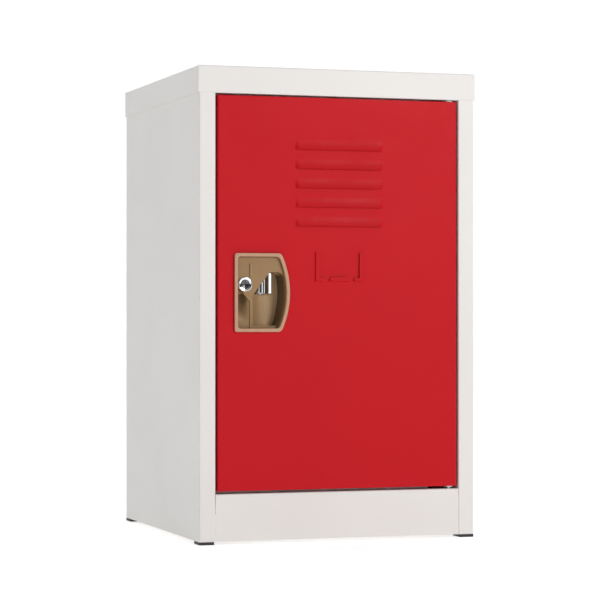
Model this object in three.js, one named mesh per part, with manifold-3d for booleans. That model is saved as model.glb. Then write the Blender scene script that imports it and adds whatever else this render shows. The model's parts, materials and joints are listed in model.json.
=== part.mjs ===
// Single-tier steel school locker: a folded sheet-steel cabinet with a pan door, five louvres, a pressed
// card holder, a recessed handle with a key lock and a spring latch, on four pads.
// Millimetres. +X is to the right of the door, +Y is into the locker, +Z is up.
// The origin is on the floor, under the middle of the whole locker.
import * as THREE from "three";
import { ConvexGeometry } from "three/addons/geometries/ConvexGeometry.js";
import { mergeVertices } from "three/addons/utils/BufferGeometryUtils.js";
import Module from "manifold-3d";

const wasm = await Module();
wasm.setup();

// ---- Driving dimensions -------------------------------------------------------------------------

const BODY_WIDTH = 377;
const BODY_DEPTH = 384;
const HEIGHT = 612;
const SHEET = 0.9; // every wall, the door and the cap
const PLAY = 0.3; // air between two pieces that are fastened together
const PAD_HEIGHT = 4;

const CAP_SKIRT = 34.4;
const CAP_LAP = SHEET + PLAY; // the cap stands this far out of the body all round
const CAP_SEAM = { fromBack: 19, width: 0.6, topMargin: 3 };

const STILE = 21.5; // face width of the posts beside the door
const JAMB = 17.2; // depth of the rebate that the door closes into
const STOP_LIP = 10; // the door's edge lands on this strip
const OPENING = { bottom: 64.5, top: 577.2 };
const BACK_FLANGE = 16;
const RAIL_HEIGHT = 24; // of the header's face
const TRAY_EDGE = 15; // the floor's edges are turned down by this

const DOOR_GAP = 3;
const DOOR_DEPTH = 16;
const DOOR_LIP = 10; // width of the pan's inner return
const DOOR_BOTTOM = OPENING.bottom + 3.5;
const DOOR_TOP = OPENING.top - 2.2;

const LOUVRE = { width: 120.6, height: 11, proud: 4.5, count: 5, pitch: 24.75, lowest: 408.5 };
const CARD = { proud: 2.3, bottom: 336.6, height: 37.6, halfWidth: 33.2, bracket: 5.6, foot: 12.6 };
const CARD_TAB = { halfWidth: 13.2, height: 5.8 };

const STIFFENER = { left: 88, foot: 10, crown: 18, depth: 13, endGap: 14 };

const HINGE = { fromEdge: 9, behindFace: 6.5, pinRadius: 2.5, boreRadius: 2.65, headRadius: 4.2, reach: 12 };
const BUSH = { radius: 3.8, flange: 5.8, length: 4.5, thickness: 1 };
const BUMPER = { radius: 3, fromMouth: 6.5, fromEnd: 20, play: 0.1 };

// The handle is a D seen from the front: straight on its left, bowed on its right.
const HANDLE = { left: -142.5, right: -68, bottom: 271.5, top: 372.8, bow: 114.6, corner: 4 };
const RIM = { width: 4.7, proud: 3.5, insert: 2.6 };
const TRAY_FLOOR = 6; // depth of the handle's flat floor behind the door's face
const HANDLE_WALL = 1.6;
const CUP = { crease: -116.5, knee: -78, right: -72.7, depth: 27, bottom: 279.5, top: 348.5, corner: 10 };
const CUP_BEND = { x: 19, y: 10.5 }; // from the crease to the control point of the floor's curve
// The hollow left of the crease, deepest under the lock and running out downwards.
const HOLLOW = { left: -137.2, right: -120.6, bottom: 284, top: 320, depth: 13 };
const NICHE = { left: -113, right: -86, bottom: 320, top: 348.5, depth: 26.6 };
const HANDLE_BACK = TRAY_FLOOR + HANDLE_WALL + 0.2; // what is fixed to the handle's back starts here

// The lock stands on a V, seen here from its left edge round its tip and up the edge over the lever.
const HOUSING = { front: 1, left: -137, right: -94.4, shelf: 348 };
const HOUSING_V = [
  [HOUSING.left, 327.5],
  [-131.7, 323.6],
  [-121.9, 311.3],
  [-111.6, 326],
  [HOUSING.right, HOUSING.shelf],
];
const HOUSING_RIB = { left: -121, right: -118.4, bottom: 342.6, top: 358.6, proud: 1.6 };

const LOCK = { x: -127.7, z: 332.7, flange: 9.5, barrel: 7.5, plug: 5.6, barrelEnd: 17 };
const CAM = { reach: 36, width: 12, front: 19.3, thickness: 2 };

const LEVER = { x: -103, y: 16, radius: 9.4, bottom: 321, top: 347.8 };
const LIP = { reach: 15, front: 13.4, back: 17.4 };
const SHAFT = { radius: 2.5, top: 355 };
const NUT = { radius: 9.8, thickness: 3.2 };
const CRANK = { bottom: 351.6, top: 354.4, length: 13, hub: 5, halfWidth: 3.5 };
const PEG = { radius: 2, top: 361.4 };
const BOLT = { tip: -163, tail: -95, bottom: 357, top: 367, front: 19.3, back: 22.3, chamfer: 1.4 };
const FORK = { halfWidth: 7, length: 11.5, height: 4, slotHalf: 2.35 };
const GUIDE = { left: -137, right: -121, length: 6, wall: 1.2, slack: 0.4 };
const SPRING = { x: -80.5, radius: 3.4, wire: 0.7, turns: 5 };
const ANCHOR = { left: -92, bottom: 357.5, top: 366.5, thickness: 1.2 };
const CLIP = { length: 8, thickness: 1, topX: -112, bottomX: -134 };

const HOOK = { height: 540, reach: 30, wire: 3, plate: 1.6, halfWidth: 9, below: 22, above: 16 };
const FOOT = { width: 20, length: 25, stemRadius: 2.8, stemTop: 9 };
const FOOT_BRACKET = { length: 32, thickness: 1.2, flangeTop: 24 };
const RIVET = { fromSide: BACK_FLANGE / 2, heights: [40, 570], head: 3.2, shank: 1.6, hole: 1.8, proud: 0.9 };

const ROUND = 20; // sides of a round piece
const SMALL_ROUND = 12; // sides of a rivet or a screw

// The body's front face. The bounding box runs from the louvres to the back of the cap, and the
// origin lies under its middle.
const FRONT = (LOUVRE.proud - BODY_DEPTH - CAP_LAP) / 2;
const BACK = FRONT + BODY_DEPTH;
const SIDE = BODY_WIDTH / 2;
const MOUTH = SIDE - STILE; // half width of the door opening
const DOOR_EDGE = MOUTH - DOOR_GAP;
const PIVOT = { x: DOOR_EDGE - HINGE.fromEdge, y: FRONT + HINGE.behindFace };
const CEILING = HEIGHT - SHEET - PLAY;
const WALL_INSIDE = SIDE - SHEET - PLAY; // where things fastened to a side wall start
const JAMB_BACK = FRONT + JAMB + SHEET; // back face of the strip that stops the door
const STOP_END = 130; // that strip ends here, clear of the hinged edge as it swings
const RIVET_X = SIDE - RIVET.fromSide;

// ---- Materials ----------------------------------------------------------------------------------

function material(color, roughness, metalness) {
  return new THREE.MeshStandardMaterial({ color, roughness, metalness });
}

const CABINET_PAINT = material(0xe5e2de, 0.5, 0);
const DOOR_PAINT = material(0xc42830, 0.45, 0);
const CHAMPAGNE = material(0xa88a62, 0.4, 0.3);
const CHROME = material(0xdfe2e6, 0.08, 1);
const ZINC = material(0xb9bcc0, 0.35, 0.9);
const BLACK_PLASTIC = material(0x1b1b1d, 0.6, 0);
const NYLON = material(0xdcdcd6, 0.5, 0);

// ---- Solids -------------------------------------------------------------------------------------

// A closed geometry as a solid that can be joined and cut.
function solid(geometry) {
  const plain = geometry.index ? geometry.toNonIndexed() : geometry.clone();
  plain.deleteAttribute("normal");
  plain.deleteAttribute("uv");
  const merged = mergeVertices(plain, 1e-4);
  return new wasm.Manifold(
    new wasm.Mesh({
      numProp: 3,
      vertProperties: new Float32Array(merged.attributes.position.array),
      triVerts: new Uint32Array(merged.index.array),
    }),
  );
}

function geometryOf(body) {
  const { vertProperties, triVerts, numProp } = body.getMesh();
  const count = vertProperties.length / numProp;
  const position = new Float32Array(count * 3);
  for (let i = 0; i < count; i++) {
    position.set(vertProperties.subarray(i * numProp, i * numProp + 3), i * 3);
  }
  const geometry = new THREE.BufferGeometry();
  geometry.setAttribute("position", new THREE.BufferAttribute(position, 3));
  geometry.setIndex(new THREE.BufferAttribute(new Uint32Array(triVerts), 1));
  const faceted = geometry.toNonIndexed();
  faceted.computeVertexNormals();
  return faceted;
}

function join(...bodies) {
  return bodies.reduce((sum, body) => sum.add(body));
}

function block([x0, x1], [y0, y1], [z0, z1]) {
  const box = new THREE.BoxGeometry(x1 - x0, y1 - y0, z1 - z0);
  return solid(box.translate((x0 + x1) / 2, (y0 + y1) / 2, (z0 + z1) / 2));
}

function extruded(shape, depth, curveSegments = 8) {
  return new THREE.ExtrudeGeometry(shape, { depth, bevelEnabled: false, curveSegments });
}

function outline(points) {
  return new THREE.Shape(points.map(([u, v]) => new THREE.Vector2(u, v)));
}

// A plan outline in x and y, stood up between two heights.
function upright(shape, [z0, z1]) {
  return solid(extruded(shape, z1 - z0).translate(0, 0, z0));
}

// A front outline in x and z, given depth between two y values.
function fronted(shape, [y0, y1], curveSegments) {
  const body = extruded(shape, y1 - y0, curveSegments);
  return solid(body.rotateX(Math.PI / 2).translate(0, y1, 0));
}

// A side outline in y and z, given width between two x values.
function sideways(shape, [x0, x1]) {
  const turn = new THREE.Matrix4().makeBasis(
    new THREE.Vector3(0, 1, 0),
    new THREE.Vector3(0, 0, 1),
    new THREE.Vector3(1, 0, 0),
  );
  return solid(extruded(shape, x1 - x0).applyMatrix4(turn).translate(x0, 0, 0));
}

function rodY(x, z, radius, [y0, y1], sides = ROUND) {
  const rod = new THREE.CylinderGeometry(radius, radius, y1 - y0, sides);
  return solid(rod.translate(x, (y0 + y1) / 2, z));
}

function rodZ(x, y, radius, [z0, z1], sides = ROUND) {
  const rod = new THREE.CylinderGeometry(radius, radius, z1 - z0, sides);
  return solid(rod.rotateX(Math.PI / 2).translate(x, y, (z0 + z1) / 2));
}

// A strip of sheet bent along a path of points, with its thickness on the path's left.
function folded(path, thickness) {
  const left = path.slice(1).map(([u, v], i) => {
    const [du, dv] = [u - path[i][0], v - path[i][1]];
    const length = Math.hypot(du, dv);
    return [-dv / length, du / length];
  });
  const inner = path.map(([u, v], i) => {
    const a = left[Math.max(i - 1, 0)];
    const b = left[Math.min(i, left.length - 1)];
    const mitre = thickness / (1 + a[0] * b[0] + a[1] * b[1]);
    return [u + (a[0] + b[0]) * mitre, v + (a[1] + b[1]) * mitre];
  });
  return outline([...path, ...inner.reverse()]);
}

// Two ends of a span, in rising order.
function span(a, b) {
  return a < b ? [a, b] : [b, a];
}

function mirrored(body) {
  return body.mirror([1, 0, 0]);
}

// ---- Cabinet ------------------------------------------------------------------------------------

function rivetHoles(side) {
  return RIVET.heights.map((z) => rodY(side * RIVET_X, z, RIVET.hole, [BACK - 5, BACK + 1], SMALL_ROUND));
}

// The right-hand wall: back flange, side, stile and jamb, bent from one sheet.
function sidePanel() {
  const path = [
    [SIDE - BACK_FLANGE, BACK],
    [SIDE, BACK],
    [SIDE, FRONT],
    [MOUTH, FRONT],
    [MOUTH, FRONT + JAMB],
  ];
  const backwards = path.reverse();
  return upright(folded(backwards, SHEET), [PAD_HEIGHT, CEILING]);
}

function rightSidePanel() {
  return rivetHoles(1).reduce((panel, hole) => panel.subtract(hole), sidePanel());
}

function leftSidePanel() {
  const lip = block(
    [-MOUTH - SHEET, -MOUTH + STOP_LIP],
    [FRONT + JAMB, JAMB_BACK],
    [OPENING.bottom + PLAY, OPENING.top - PLAY],
  );
  const panel = join(mirrored(sidePanel()), lip);
  return rivetHoles(-1).reduce((body, hole) => body.subtract(hole), panel);
}

function backPanel() {
  const y = [BACK - 2 * SHEET - PLAY, BACK - SHEET - PLAY];
  const sheet = block([-WALL_INSIDE, WALL_INSIDE], y, [PAD_HEIGHT, CEILING]);
  return [...rivetHoles(1), ...rivetHoles(-1)].reduce((panel, hole) => panel.subtract(hole), sheet);
}

// The locker's floor: a tray turned down on all four sides.
function bottomPanel() {
  const x = WALL_INSIDE;
  const y = [JAMB_BACK + PLAY, BACK - 2 * SHEET - 2 * PLAY];
  const top = OPENING.bottom - SHEET - PLAY;
  const bottom = top - TRAY_EDGE;
  const tray = block([-x, x], y, [bottom, top]);
  const hollow = block([SHEET - x, x - SHEET], [y[0] + SHEET, y[1] - SHEET], [bottom - 1, top - SHEET]);
  return tray.subtract(hollow);
}

// The cap is a pan turned upside down over the walls. Its side skirts butt near the back.
function topCap() {
  const x = SIDE + CAP_LAP;
  const [y0, y1] = [FRONT - CAP_LAP, BACK + CAP_LAP];
  const bottom = HEIGHT - CAP_SKIRT;
  const pan = block([-x, x], [y0, y1], [bottom, HEIGHT]);
  const hollow = block([SHEET - x, x - SHEET], [y0 + SHEET, y1 - SHEET], [bottom - 1, HEIGHT - SHEET]);
  const seamY = BACK - CAP_SEAM.fromBack;
  const seams = [-1, 1].map((side) =>
    block(
      span(side * x, side * (x - 2)),
      [seamY, seamY + CAP_SEAM.width],
      [bottom - 1, HEIGHT - CAP_SEAM.topMargin],
    ),
  );
  return seams.reduce((cap, seam) => cap.subtract(seam), pan.subtract(hollow));
}

// Front rail over the door: face, return, and a strip hanging down behind the door's edge.
function headerRail() {
  const x = MOUTH - PLAY;
  const z = OPENING.top;
  const face = folded(
    [
      [FRONT, z + RAIL_HEIGHT],
      [FRONT, z],
      [FRONT + JAMB + SHEET, z],
    ],
    SHEET,
  );
  const lip = block(
    [-MOUTH + STOP_LIP + PLAY, STOP_END],
    [FRONT + JAMB, JAMB_BACK],
    [z - STOP_LIP, z + SHEET],
  );
  const hole = rodZ(PIVOT.x, PIVOT.y, HINGE.pinRadius + 0.2, [z - 1, z + 2]);
  return join(sideways(face, [-x, x]), lip).subtract(hole);
}

// Front rail under the door: face, return, and a strip standing up behind the door's edge.
function bottomRail() {
  const x = MOUTH - PLAY;
  const z = OPENING.bottom;
  const face = folded(
    [
      [FRONT + JAMB + SHEET, z],
      [FRONT, z],
      [FRONT, PAD_HEIGHT],
    ],
    SHEET,
  );
  const lip = block(
    [-MOUTH + STOP_LIP + PLAY, STOP_END],
    [FRONT + JAMB, JAMB_BACK],
    [z - SHEET, z + STOP_LIP],
  );
  const hole = rodZ(PIVOT.x, PIVOT.y, HINGE.pinRadius + 0.2, [z - 2, z + 1]);
  return join(sideways(face, [-x, x]), lip).subtract(hole);
}

// A pad with a stem, at the corner given by the signs of x and y.
function foot(sideX, sideY) {
  const x = span(sideX * SIDE, sideX * (SIDE - FOOT.width));
  const corner = sideY < 0 ? FRONT : BACK;
  const y = span(corner, corner - sideY * FOOT.length);
  const [stemX, stemY] = [(x[0] + x[1]) / 2, (y[0] + y[1]) / 2];
  const stem = rodZ(stemX, stemY, FOOT.stemRadius, [1, FOOT.stemTop], SMALL_ROUND);
  return join(block(x, y, [0, PAD_HEIGHT - 0.1]), stem);
}

// An angle in the bottom corner of the body, which takes the pad's stem.
function footBracket(sideX, sideY) {
  const { length, thickness, flangeTop } = FOOT_BRACKET;
  const x = span(sideX * WALL_INSIDE, sideX * (SIDE - FOOT.width));
  const wall = span(sideX * WALL_INSIDE, sideX * (WALL_INSIDE - thickness));
  const inFront = [FRONT + SHEET + PLAY, FRONT + length];
  const behind = [BACK - length, BACK - 2 * (SHEET + PLAY)];
  const y = sideY < 0 ? inFront : behind;
  const bottom = PAD_HEIGHT + PLAY;
  const plate = block(x, y, [bottom, bottom + thickness]);
  const flange = block(wall, y, [bottom, flangeTop]);
  const stemY = (sideY < 0 ? FRONT : BACK) - (sideY * FOOT.length) / 2;
  const hole = rodZ(sideX * (SIDE - FOOT.width / 2), stemY, FOOT.stemRadius + 0.2, [0, 10], SMALL_ROUND);
  return join(plate, flange).subtract(hole);
}

function rivet(side, z) {
  const head = rodY(side * RIVET_X, z, RIVET.head, [BACK + 0.05, BACK + RIVET.proud], SMALL_ROUND);
  const shank = rodY(side * RIVET_X, z, RIVET.shank, [BACK - 4, BACK + 0.5], SMALL_ROUND);
  return join(head, shank);
}

// A coat hook on the right-hand wall: a plate with a rod that runs out and turns up.
function coatHook() {
  const [wall, z] = [WALL_INSIDE, HOOK.height];
  const y = [-HOOK.halfWidth, HOOK.halfWidth];
  const plate = block([wall - HOOK.plate, wall], y, [z - HOOK.below, z + HOOK.above]);
  const bend = new THREE.CurvePath();
  const start = new THREE.Vector3(wall - 1, 0, z - 6);
  const knee = new THREE.Vector3(wall - HOOK.reach + 12, 0, z - 12);
  const turn = new THREE.Vector3(wall - HOOK.reach, 0, z - 14);
  const rise = new THREE.Vector3(wall - HOOK.reach, 0, z - 2);
  const tip = new THREE.Vector3(wall - HOOK.reach - 1, 0, z + 8);
  bend.add(new THREE.LineCurve3(start, knee));
  bend.add(new THREE.QuadraticBezierCurve3(knee, turn, rise));
  bend.add(new THREE.LineCurve3(rise, tip));
  const section = new THREE.Shape().absarc(0, 0, HOOK.wire, 0, 2 * Math.PI);
  const rod = new THREE.ExtrudeGeometry(section, {
    steps: 14,
    curveSegments: 4,
    extrudePath: bend,
  });
  return join(plate, solid(rod));
}

// ---- Door ---------------------------------------------------------------------------------------

// Half of a flattened capsule: the outside of a louvre, or with a smaller radius the inside.
function louvreHood(z, inset) {
  const radius = LOUVRE.height - inset;
  const length = LOUVRE.width - 2 * LOUVRE.height;
  const squash = (LOUVRE.proud - inset) / radius;
  const capsule = new THREE.CapsuleGeometry(radius, length, 3, 14);
  const whole = solid(capsule.rotateZ(Math.PI / 2).scale(1, squash, 1).translate(0, FRONT, z));
  const above = block([-MOUTH, MOUTH], [FRONT - 9, FRONT + 9], [z, z + 2 * LOUVRE.height]);
  return whole.intersect(above);
}

function withLouvres(door) {
  const heights = Array.from({ length: LOUVRE.count }, (_, i) => LOUVRE.lowest + i * LOUVRE.pitch);
  return heights.reduce((body, z) => {
    const skin = block([-MOUTH, MOUTH], [FRONT - 9, FRONT + SHEET / 2], [z, z + 2 * LOUVRE.height]);
    const hood = louvreHood(z, 0).intersect(skin);
    return body.add(hood).subtract(louvreHood(z, SHEET));
  }, door);
}

// Two L brackets and a tab pressed out of the door, which hold a name card by its edges.
function cardHolder() {
  const face = [FRONT - CARD.proud, FRONT - CARD.proud + SHEET];
  const wall = [FRONT - CARD.proud, FRONT + SHEET / 2];
  const z = CARD.bottom;
  const bracket = (side) => {
    const outer = side * CARD.halfWidth;
    const inTo = (width) => span(outer, outer - side * width);
    return join(
      block(inTo(CARD.bracket), face, [z, z + CARD.height]),
      block(inTo(SHEET), wall, [z, z + CARD.height]),
      block(inTo(CARD.foot), face, [z, z + CARD_TAB.height - 1]),
      block(inTo(CARD.foot), wall, [z, z + SHEET]),
    );
  };
  const half = CARD_TAB.halfWidth;
  const tabFace = outline([
    [-half, z],
    [half, z],
    [half, z + CARD_TAB.height - 2],
    [half - 2, z + CARD_TAB.height],
    [2 - half, z + CARD_TAB.height],
    [-half, z + CARD_TAB.height - 2],
  ]);
  const tab = join(fronted(tabFace, face), block([-half, half], wall, [z, z + SHEET]));
  return [bracket(-1), bracket(1), tab];
}

// The handle's D outline, moved inwards.
function handleOutline(inset) {
  const { left, right, bottom, top, bow, corner } = HANDLE;
  const radius = bow - inset;
  const centre = { x: right - bow, z: (bottom + top) / 2 };
  const [x0, z0, z1] = [left + inset, bottom + inset, top - inset];
  const reach = z1 - centre.z;
  const cornerX = centre.x + Math.sqrt(radius ** 2 - reach ** 2);
  const sweep = Math.asin((reach - corner) / radius);
  const shape = new THREE.Shape();
  shape.moveTo(x0 + corner, z0);
  shape.lineTo(cornerX - corner, z0);
  const low = { x: centre.x + radius * Math.cos(sweep), z: centre.z - radius * Math.sin(sweep) };
  shape.quadraticCurveTo(cornerX, z0, low.x, low.z);
  shape.absarc(centre.x, centre.z, radius, -sweep, sweep, false);
  shape.quadraticCurveTo(cornerX, z1, cornerX - corner, z1);
  shape.lineTo(x0 + corner, z1);
  shape.quadraticCurveTo(x0, z1, x0, z1 - corner);
  shape.lineTo(x0, z0 + corner);
  shape.quadraticCurveTo(x0, z0, x0 + corner, z0);
  return shape;
}

function handleBlock(inset, from, to) {
  return fronted(handleOutline(inset), [FRONT + from, FRONT + to], 6);
}

function doorPanel() {
  const [z0, z1] = [DOOR_BOTTOM, DOOR_TOP];
  const x = DOOR_EDGE;
  const pan = block([-x, x], [FRONT, FRONT + DOOR_DEPTH], [z0, z1]);
  const inside = block(
    [SHEET - x, x - SHEET],
    [FRONT + SHEET, FRONT + DOOR_DEPTH - SHEET],
    [z0 + SHEET, z1 - SHEET],
  );
  const window = block(
    [DOOR_LIP - x, x - DOOR_LIP],
    [FRONT + DOOR_DEPTH - 2 * SHEET, FRONT + DOOR_DEPTH + 1],
    [z0 + DOOR_LIP, z1 - DOOR_LIP],
  );
  const pins = rodZ(PIVOT.x, PIVOT.y, BUSH.radius + 0.15, [z0 - 1, z1 + 1]);
  const shell = join(withLouvres(pan.subtract(inside).subtract(window)), ...cardHolder());
  return shell.subtract(handleBlock(RIM.insert - 0.4, -1, 3)).subtract(pins);
}

// A hat channel up the hinged half of the door.
function doorStiffener() {
  const { left, foot: width, crown, depth, endGap } = STIFFENER;
  const y = FRONT + SHEET + PLAY;
  const path = [
    [left, y],
    [left + width, y],
    [left + width, y + depth],
    [left + width + crown, y + depth],
    [left + width + crown, y],
    [left + 2 * width + crown, y],
  ];
  return upright(folded(path, SHEET), [DOOR_BOTTOM + endGap, DOOR_TOP - endGap]);
}

// ---- Hinges -------------------------------------------------------------------------------------

// A headed pin through a rail, end: +1 over the door and -1 under it.
function hingePin(end) {
  const rail = end > 0 ? OPENING.top + SHEET + PLAY : OPENING.bottom - SHEET - PLAY;
  const head = rodZ(PIVOT.x, PIVOT.y, HINGE.headRadius, span(rail, rail + end * 2));
  const shank = rodZ(PIVOT.x, PIVOT.y, HINGE.pinRadius, span(rail + end, rail - end * HINGE.reach));
  return join(head, shank);
}

// A flanged bush in the door's edge, which turns on the pin.
function hingeBush(end) {
  const edge = end > 0 ? DOOR_TOP + 0.1 : DOOR_BOTTOM - 0.1;
  const flange = span(edge, edge + end * BUSH.thickness);
  const sleeve = span(edge + end * 0.5, edge - end * BUSH.length);
  const body = join(
    rodZ(PIVOT.x, PIVOT.y, BUSH.flange, flange),
    rodZ(PIVOT.x, PIVOT.y, BUSH.radius, sleeve),
  );
  return body.subtract(rodZ(PIVOT.x, PIVOT.y, HINGE.boreRadius, [edge - 9, edge + 9]));
}

function bumper(z) {
  const y = [FRONT + DOOR_DEPTH + BUMPER.play, FRONT + JAMB - BUMPER.play];
  return rodY(-MOUTH + BUMPER.fromMouth, z, BUMPER.radius, y, SMALL_ROUND);
}

// ---- Handle -------------------------------------------------------------------------------------

// The finger cup's plan: a floor that curves back from the crease, then a deep end.
function cupPlan(grow) {
  const [x0, y0, y1] = [CUP.crease - grow, FRONT + TRAY_FLOOR + grow, FRONT + CUP.depth + grow];
  const shape = new THREE.Shape();
  shape.moveTo(x0, FRONT - 6);
  shape.lineTo(HANDLE.right, FRONT - 6);
  shape.lineTo(HANDLE.right, y1);
  shape.lineTo(CUP.knee - grow, y1);
  shape.quadraticCurveTo(CUP.crease + CUP_BEND.x - grow, y0 + CUP_BEND.y, x0, y0);
  return shape;
}

// The cup seen from the front: square, with a round top right corner.
function cupFront(grow) {
  const [x0, x1] = [CUP.crease - grow, CUP.right + grow];
  const [z0, z1] = [CUP.bottom - grow, CUP.top + grow];
  const shape = new THREE.Shape();
  shape.moveTo(x0, z0);
  shape.lineTo(x1, z0);
  shape.lineTo(x1, z1 - CUP.corner);
  shape.absarc(x1 - CUP.corner, z1 - CUP.corner, CUP.corner, 0, Math.PI / 2, false);
  shape.lineTo(x0, z1);
  return shape;
}

// The hollow under the lock: a shallow pocket whose floor falls towards its top left corner.
function hollowBody(grow) {
  const x = [HOLLOW.left, HOLLOW.right];
  const z = [HOLLOW.bottom, HOLLOW.top + grow];
  const base = FRONT + TRAY_FLOOR - 1 + grow;
  const corners = x.flatMap((u) => z.map((w) => new THREE.Vector3(u, base, w)));
  const floor = x.flatMap((u) => z.map((w) => new THREE.Vector3(u, base + 1, w)));
  const deepest = new THREE.Vector3(x[0], FRONT + HOLLOW.depth + grow, z[1]);
  return solid(new ConvexGeometry([...corners, ...floor, deepest]));
}

// Cup and lever niche together, as the hollow or, grown by the wall, as the outside.
function cupBody(grow, from) {
  const y = [FRONT + from, FRONT + CUP.depth + grow];
  const cup = upright(cupPlan(grow), [CUP.bottom - grow, CUP.top + grow])
    .intersect(fronted(cupFront(grow), y, 4))
    .intersect(handleBlock(RIM.width - grow, from, CUP.depth + grow));
  const niche = block(
    [NICHE.left - grow, NICHE.right + grow],
    [FRONT + from, FRONT + NICHE.depth + grow],
    [NICHE.bottom - grow, NICHE.top + grow],
  );
  return join(cup, niche);
}

function handlePlate() {
  const rim = handleBlock(0, -RIM.proud, -0.1);
  const body = handleBlock(RIM.insert, -RIM.proud + 1, TRAY_FLOOR + HANDLE_WALL);
  const tray = handleBlock(RIM.width, -RIM.proud - 1, TRAY_FLOOR);
  const outside = cupBody(HANDLE_WALL, TRAY_FLOOR);
  const barrel = rodY(LOCK.x, LOCK.z, LOCK.barrel + 0.3, [FRONT, FRONT + 12]);
  const shaft = rodZ(LEVER.x, FRONT + LEVER.y, SHAFT.radius + 0.2, [NICHE.bottom - 1, SHAFT.top + 1]);
  return join(rim, body)
    .subtract(tray)
    .add(outside)
    .add(hollowBody(HANDLE_WALL))
    .subtract(cupBody(0, -RIM.proud - 1))
    .subtract(hollowBody(0))
    .subtract(barrel)
    .subtract(shaft);
}

// The raised shelf along the top of the tray, with the V that carries the lock and covers part of the lever.
function lockHousing() {
  const y = [FRONT + HOUSING.front, FRONT + TRAY_FLOOR - PLAY];
  const top = HANDLE.top;
  const vee = outline([...HOUSING_V, [HOUSING.right, top], [HOUSING.left, top]]);
  const shelf = block([HOUSING.right - 1, HANDLE.right], y, [CUP.top - CUP.corner, top]);
  const opening = fronted(cupFront(0.2), [y[0] - 1, y[1] + 1], 4);
  const { left, right, bottom, top: ribTop, proud } = HOUSING_RIB;
  const rib = block([left, right], [y[0] - proud, y[1]], [bottom, ribTop]);
  const hole = rodY(LOCK.x, LOCK.z, LOCK.barrel + 0.3, [FRONT - 3, FRONT + 9]);
  return join(fronted(vee, y), shelf.subtract(opening))
    .intersect(handleBlock(RIM.width + PLAY, HOUSING.front, TRAY_FLOOR - PLAY))
    .add(rib)
    .subtract(hole);
}

// ---- Lock ---------------------------------------------------------------------------------------

function lockCylinder() {
  const flange = rodY(LOCK.x, LOCK.z, LOCK.flange, [FRONT - 1.4, FRONT + HOUSING.front - 0.2]);
  const barrel = rodY(LOCK.x, LOCK.z, LOCK.barrel, [FRONT - 1, FRONT + LOCK.barrelEnd]);
  const bore = rodY(LOCK.x, LOCK.z, LOCK.plug + 0.15, [FRONT - 3, FRONT + LOCK.barrelEnd + 1]);
  return join(flange, barrel).subtract(bore);
}

function lockNut() {
  const y = [FRONT + HANDLE_BACK, FRONT + HANDLE_BACK + NUT.thickness];
  const hex = rodY(LOCK.x, LOCK.z, NUT.radius, y, 6);
  return hex.subtract(rodY(LOCK.x, LOCK.z, LOCK.barrel + 0.2, [y[0] - 1, y[1] + 1]));
}

function lockPlug() {
  const barrel = rodY(LOCK.x, LOCK.z, LOCK.plug, [FRONT - 1.2, FRONT + LOCK.barrelEnd + 1.5]);
  const tail = rodY(LOCK.x, LOCK.z, 3, [FRONT + LOCK.barrelEnd, FRONT + CAM.front + CAM.thickness]);
  const keyway = block(
    [LOCK.x - 0.7, LOCK.x + 0.7],
    [FRONT - 2, FRONT + 12],
    [LOCK.z - 3.6, LOCK.z + 3.6],
  );
  return join(barrel, tail).subtract(keyway);
}

// The cam hangs down when unlocked, and turns to the left behind the stop strip when locked.
function lockCam() {
  const y = [FRONT + CAM.front, FRONT + CAM.front + CAM.thickness];
  const half = CAM.width / 2;
  const hub = rodY(LOCK.x, LOCK.z, 7.5, y);
  const arm = block([LOCK.x - half, LOCK.x + half], y, [LOCK.z - CAM.reach, LOCK.z]);
  return join(hub, arm).subtract(rodY(LOCK.x, LOCK.z, 3.15, [y[0] - 1, y[1] + 1]));
}

function camScrew() {
  const y = FRONT + CAM.front + CAM.thickness + 0.1;
  const head = rodY(LOCK.x, LOCK.z, 4.6, [y, y + 2.2], SMALL_ROUND);
  const slot = block([LOCK.x - 5, LOCK.x + 5], [y + 1.4, y + 3], [LOCK.z - 0.5, LOCK.z + 0.5]);
  return head.subtract(slot);
}

// ---- Latch --------------------------------------------------------------------------------------

// A drum on an upright shaft, with a lip on its right that the fingers draw forward.
function latchLever() {
  const y = FRONT + LEVER.y;
  const level = [LEVER.bottom, LEVER.top];
  const drum = rodZ(LEVER.x, y, LEVER.radius, level, 28);
  const across = [LEVER.x + LEVER.radius - 2.4, LEVER.x + LIP.reach];
  const lip = block(across, [FRONT + LIP.front, FRONT + LIP.back], level);
  const bore = rodZ(LEVER.x, y, SHAFT.radius + 0.15, [LEVER.bottom - 1, LEVER.top + 1]);
  return join(drum, lip).subtract(bore);
}

function leverShaft() {
  const bottom = NICHE.bottom - 0.8;
  return rodZ(LEVER.x, FRONT + LEVER.y, SHAFT.radius, [bottom, SHAFT.top]);
}

// The arm on top of the shaft. Its peg stands in the bolt's fork.
function leverCrank() {
  const y = FRONT + LEVER.y;
  const { bottom, top, length, hub, halfWidth } = CRANK;
  const arm = join(
    rodZ(LEVER.x, y, hub, [bottom, top], SMALL_ROUND),
    block([LEVER.x - halfWidth, LEVER.x + halfWidth], [y, y + length], [bottom, top]),
    rodZ(LEVER.x, y + length, halfWidth, [bottom, top], SMALL_ROUND),
    rodZ(LEVER.x, y + length, PEG.radius, [top - 1, PEG.top], SMALL_ROUND),
  );
  return arm.subtract(rodZ(LEVER.x, y, SHAFT.radius + 0.15, [bottom - 1, top + 1]));
}

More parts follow.
